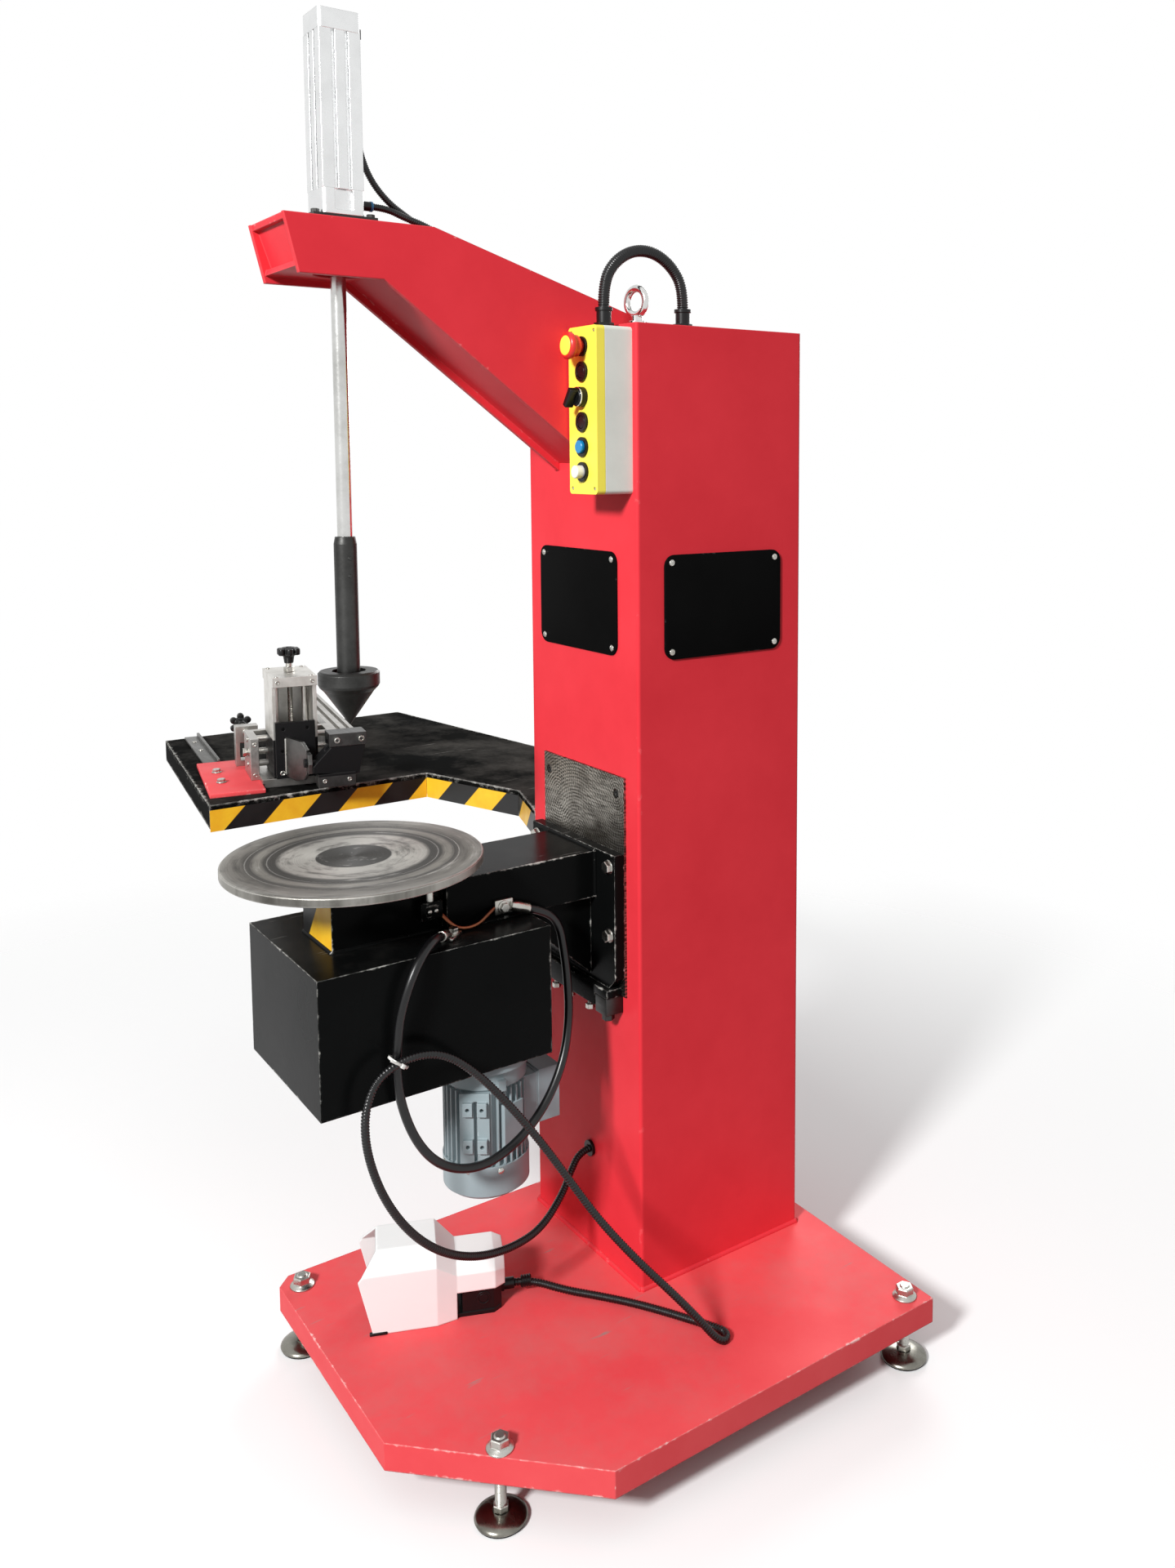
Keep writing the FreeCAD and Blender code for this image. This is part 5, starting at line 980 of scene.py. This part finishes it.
CASING_LUG = local_frame(92, -438, CASING_TOP, -49)
LUG_THICK, LUG_Z = 5, 637
BRUSH_ROD = ((0, 0), (6, 0), (6, 78.6), (5.4, 79.2), (0, 79.2))
BRACKET_CRIMP = ((0, 0), (6, 0), (8, 8), (8, 28), (7.4, 30), (0, 30))
CASING_CRIMP = ((0, 0), (6, 0), (8, 6), (8, 22.5), (7.4, 24), (0, 24))
CRIMP_RISE = math.radians(15)


def earth_return():
    holder = [(slab((HOUSING_HALF, -478, 640), (17, 34, 26), 1.6), COLUMN)]
    holder += [(slab((70, -470, 646), (5, 18, 14), 1.0), COLUMN)]
    piece("brush_holder", holder, "frame", BLACK, ("earth_contact",))
    rod = [(lathe(BRUSH_ROD, 24), seat(64, -461, 640))]
    rod += [(pan_screw(3.4, 2), seat(75, y, 653, RIGHT)) for y in (-466, -456)]
    piece("brush_rod", rod, "frame", ZINC, ("earth_contact",))
    tab = slab((BEAM_HALF, -362, 626), (7, 30, 22), 1.2)
    lugs = [(tab, COLUMN), *bolt(BEAM_HALF + 7, -348, LUG_Z, 13, RIGHT, washer=1.5)]
    lugs.append((lathe(BRACKET_CRIMP, 28), seat(78, -336, LUG_Z, (0.15, 0.94, -0.31))))
    lugs.append((slab((-11, -9, 0), (36, 18, LUG_THICK), 1.2), CASING_LUG))
    lugs += bolt(0, 0, LUG_THICK, 13, UP, CASING_LUG, washer=1.2)
    lean = (math.cos(CRIMP_RISE), 0, math.sin(CRIMP_RISE))
    lugs.append((lathe(CASING_CRIMP, 28), seat(20, 0, 8.3, lean, CASING_LUG)))
    piece("earth_lugs", lugs, "frame", ZINC, ("earth_contact",))


earth_return()
smooth_cord("earth_braid", BRAID, 3, "earth_contact", COPPER)

# Hazard tape on the notch of the platform and on the spindle housing

NOTCH = ((-527, -600), (-523, -190), (-297, -114), (-160, -158))
NOTCH_TAPE, LOWER_TAPE, UPPER_TAPE = (652.5, 691.0), (619, 685), (685, 711)
TAPE_THICK, TAPE_MARGIN = 0.35, 0.6


def tape(start, end, span, phase, scale=1.0, lean=1.0):
    """A thin strip on an upright face, mapped in metres along and up."""
    low, high = span
    run = Vector((end[0] - start[0], end[1] - start[1], 0))
    bm = slab((TAPE_MARGIN, -0.4, 0), (run.length - 2 * TAPE_MARGIN, TAPE_THICK, high - low))
    sheet = bm.loops.layers.uv.new("tape")
    for face in bm.faces:
        for loop in face.loops:
            loop[sheet].uv = ((loop.vert.co.x * scale - phase) * MM, loop.vert.co.z * lean * MM)
    turn = math.degrees(math.atan2(run.y, run.x))
    return bm, local_frame(start[0], start[1], low, turn)


def hazard_strips():
    phase = 58.5
    strips = []
    for start, end in zip(NOTCH, NOTCH[1:]):
        strips.append(tape(start, end, NOTCH_TAPE, phase))
        phase -= math.dist(start, end)
    left, right = (-HOUSING_HALF, HOUSING_FRONT), (HOUSING_HALF, HOUSING_FRONT)
    strips.append(tape(left, right, LOWER_TAPE, -17.6, 0.78, 0.54))
    strips.append(tape(left, right, UPPER_TAPE, 99.9, 1.98, -3.2))
    piece("hazard_strips", strips, "frame", TAPE)


hazard_strips()

# Pedal, motor and cylinder trim

PEDAL_RING = ((8, 0), (10.5, 0), (10.5, 1), (8, 1))
PEDAL_PLUG = ((0, 0), (7.2, 0), (7.2, 0.6), (0, 0.6))
MOTOR_AXIS = local_frame(65, -378, 217, 0)
COVER_REACH, COVER_SCREW_Z = 64.2, 44
COVER_SCREWS = ((-8, 5.0), (-52, 3.0), (82, 5.0), (128, 3.0), (172, 5.0), (-98, 5.0))
TIE_ROD, CYLINDER_TOP = 22, 1898.5
COLLAR = ((5.2, 0), (7.1, 0), (7.1, 3), (6.4, 3.8), (5.2, 3.8))


def pedal_trim():
    """The side plug, a tab of the base and the ribbed gland of the conduit."""
    place = seat(74, -40, 25, FRONT, PEDAL)
    tabs = [(lathe(PEDAL_RING, 32), place), (lathe(PEDAL_PLUG, 32), place)]
    tabs.append((slab((-96, -57, 0), (26, 6, 4), 1.0), PEDAL))
    tabs.append((stud(16, 9.6, 28, pitch=4.0, depth=1.6), seat(48, -313, 17, (0.39, 0.92, 0))))
    piece("pedal_trim", tabs, "frame", BLACK_PLASTIC)


def motor_screws():
    heads = []
    for bearing, radius in COVER_SCREWS:
        out = Vector((math.cos(math.radians(bearing)), math.sin(math.radians(bearing)), 0))
        spot = (COVER_REACH * out.x, COVER_REACH * out.y, COVER_SCREW_Z)
        heads.append((pan_screw(radius, 2.6), seat(*spot, out, MOTOR_AXIS)))
    piece("fan_cover_screws", heads, "frame", ZINC)


def cylinder_trim():
    corners = [(x, AXIS_Y + y) for x in (-TIE_ROD, TIE_ROD) for y in (-TIE_ROD, TIE_ROD)]
    caps = [(socket_screw(4.5, 3), seat(x, y, CYLINDER_TOP)) for x, y in corners]
    piece("tie_rod_screws", caps, "frame", ZINC)
    places = (seat(0, -499, 1652, BACK), seat(-20, -506.5, 1869.5, DOWN))
    collars = [(lathe(COLLAR, 28), place) for place in places]
    piece("push_in_collars", collars, "frame", BLUE_PLASTIC)


pedal_trim()
motor_screws()
cylinder_trim()

# Camera at the photograph's place, floor, backdrop and lights

EYE = (1758.0, -1244.3, 1300.7)
YAW, PITCH, ROLL = 54.0, -5.51, -0.16
LENS, SENSOR = 29.92, 36.0
SHIFT_X, SHIFT_Y = -0.0585, -0.1272
FLOOR_RADIUS, FADE_START, FADE_END = 4.0, 0.9, 2.4
FLOOR_SEEN, FLOOR_LIGHT = srgb(250, 250, 250), srgb(140, 140, 140)


def photo_camera():
    data = bpy.data.cameras.new("camera")
    data.sensor_fit = "VERTICAL"
    data.sensor_height = SENSOR
    data.lens = LENS
    data.shift_x = SHIFT_X
    data.shift_y = SHIFT_Y
    data.clip_end = 60.0
    camera = link("camera", data)
    camera.matrix_world = COLUMN @ shift(*EYE) @ turned(YAW) @ turned(90 + PITCH, "X") @ turned(ROLL)
    bpy.context.scene.camera = camera


def ground():
    """A pale floor that keeps the shadow and fades into the white backdrop."""
    bm = bmesh.new()
    bmesh.ops.create_circle(bm, cap_ends=True, segments=96, radius=FLOOR_RADIUS)
    mesh = bpy.data.meshes.new("floor")
    bm.to_mesh(mesh)
    bm.free()
    material, n, shader = finish("floor_white", FLOOR_SEEN, 0.9, specular=0.1)
    n.feed(shader["Base Color"], n.mix(n.seen(), FLOOR_LIGHT, FLOOR_SEEN))
    reach = n.add("VectorMath", {"operation": "LENGTH"})
    n.feed(reach.inputs[0], n.spot())
    n.feed(shader["Alpha"], n.span(reach.outputs["Value"], FADE_START, FADE_END, 1.0, 0.0))
    mesh.materials.append(material)
    link("floor", mesh)


def backdrop():
    """White to the eye and in reflections, softer as light on the object."""
    world = bpy.data.worlds.new("studio")
    bpy.context.scene.world = world
    world.use_nodes = True
    n = Sheet(world.node_tree)
    height = n.dot(n.add("TexCoord").outputs["Generated"], (0.1, -0.1, 0.99))
    soft = n.span(height, -0.4, 0.9, 0.05, 0.5)
    shine = world.node_tree.nodes["Background"]
    shine.inputs["Color"].default_value = (1, 1, 1, 1)
    n.feed(shine.inputs["Strength"], n.calc("MAXIMUM", n.seen(), soft))


def lamp(name, where, aim, size, power):
    """A round lamp in metres and watts, turned towards a point."""
    data = bpy.data.lights.new(name, "AREA")
    data.shape = "DISK"
    data.size = size
    data.energy = power
    obj = link(name, data)
    obj.location = where
    obj.rotation_euler = (Vector(aim) - Vector(where)).to_track_quat("-Z", "Y").to_euler()


photo_camera()
ground()
backdrop()
lamp("key", (2.25, -3.85, 3.3), (0.2, 0.0, 0.9), 0.8, 290)
lamp("rear", (-2.6, 3.6, 2.6), (0.1, 0.1, 0.9), 2.4, 85)

bpy.context.scene.view_settings.view_transform = "Standard"
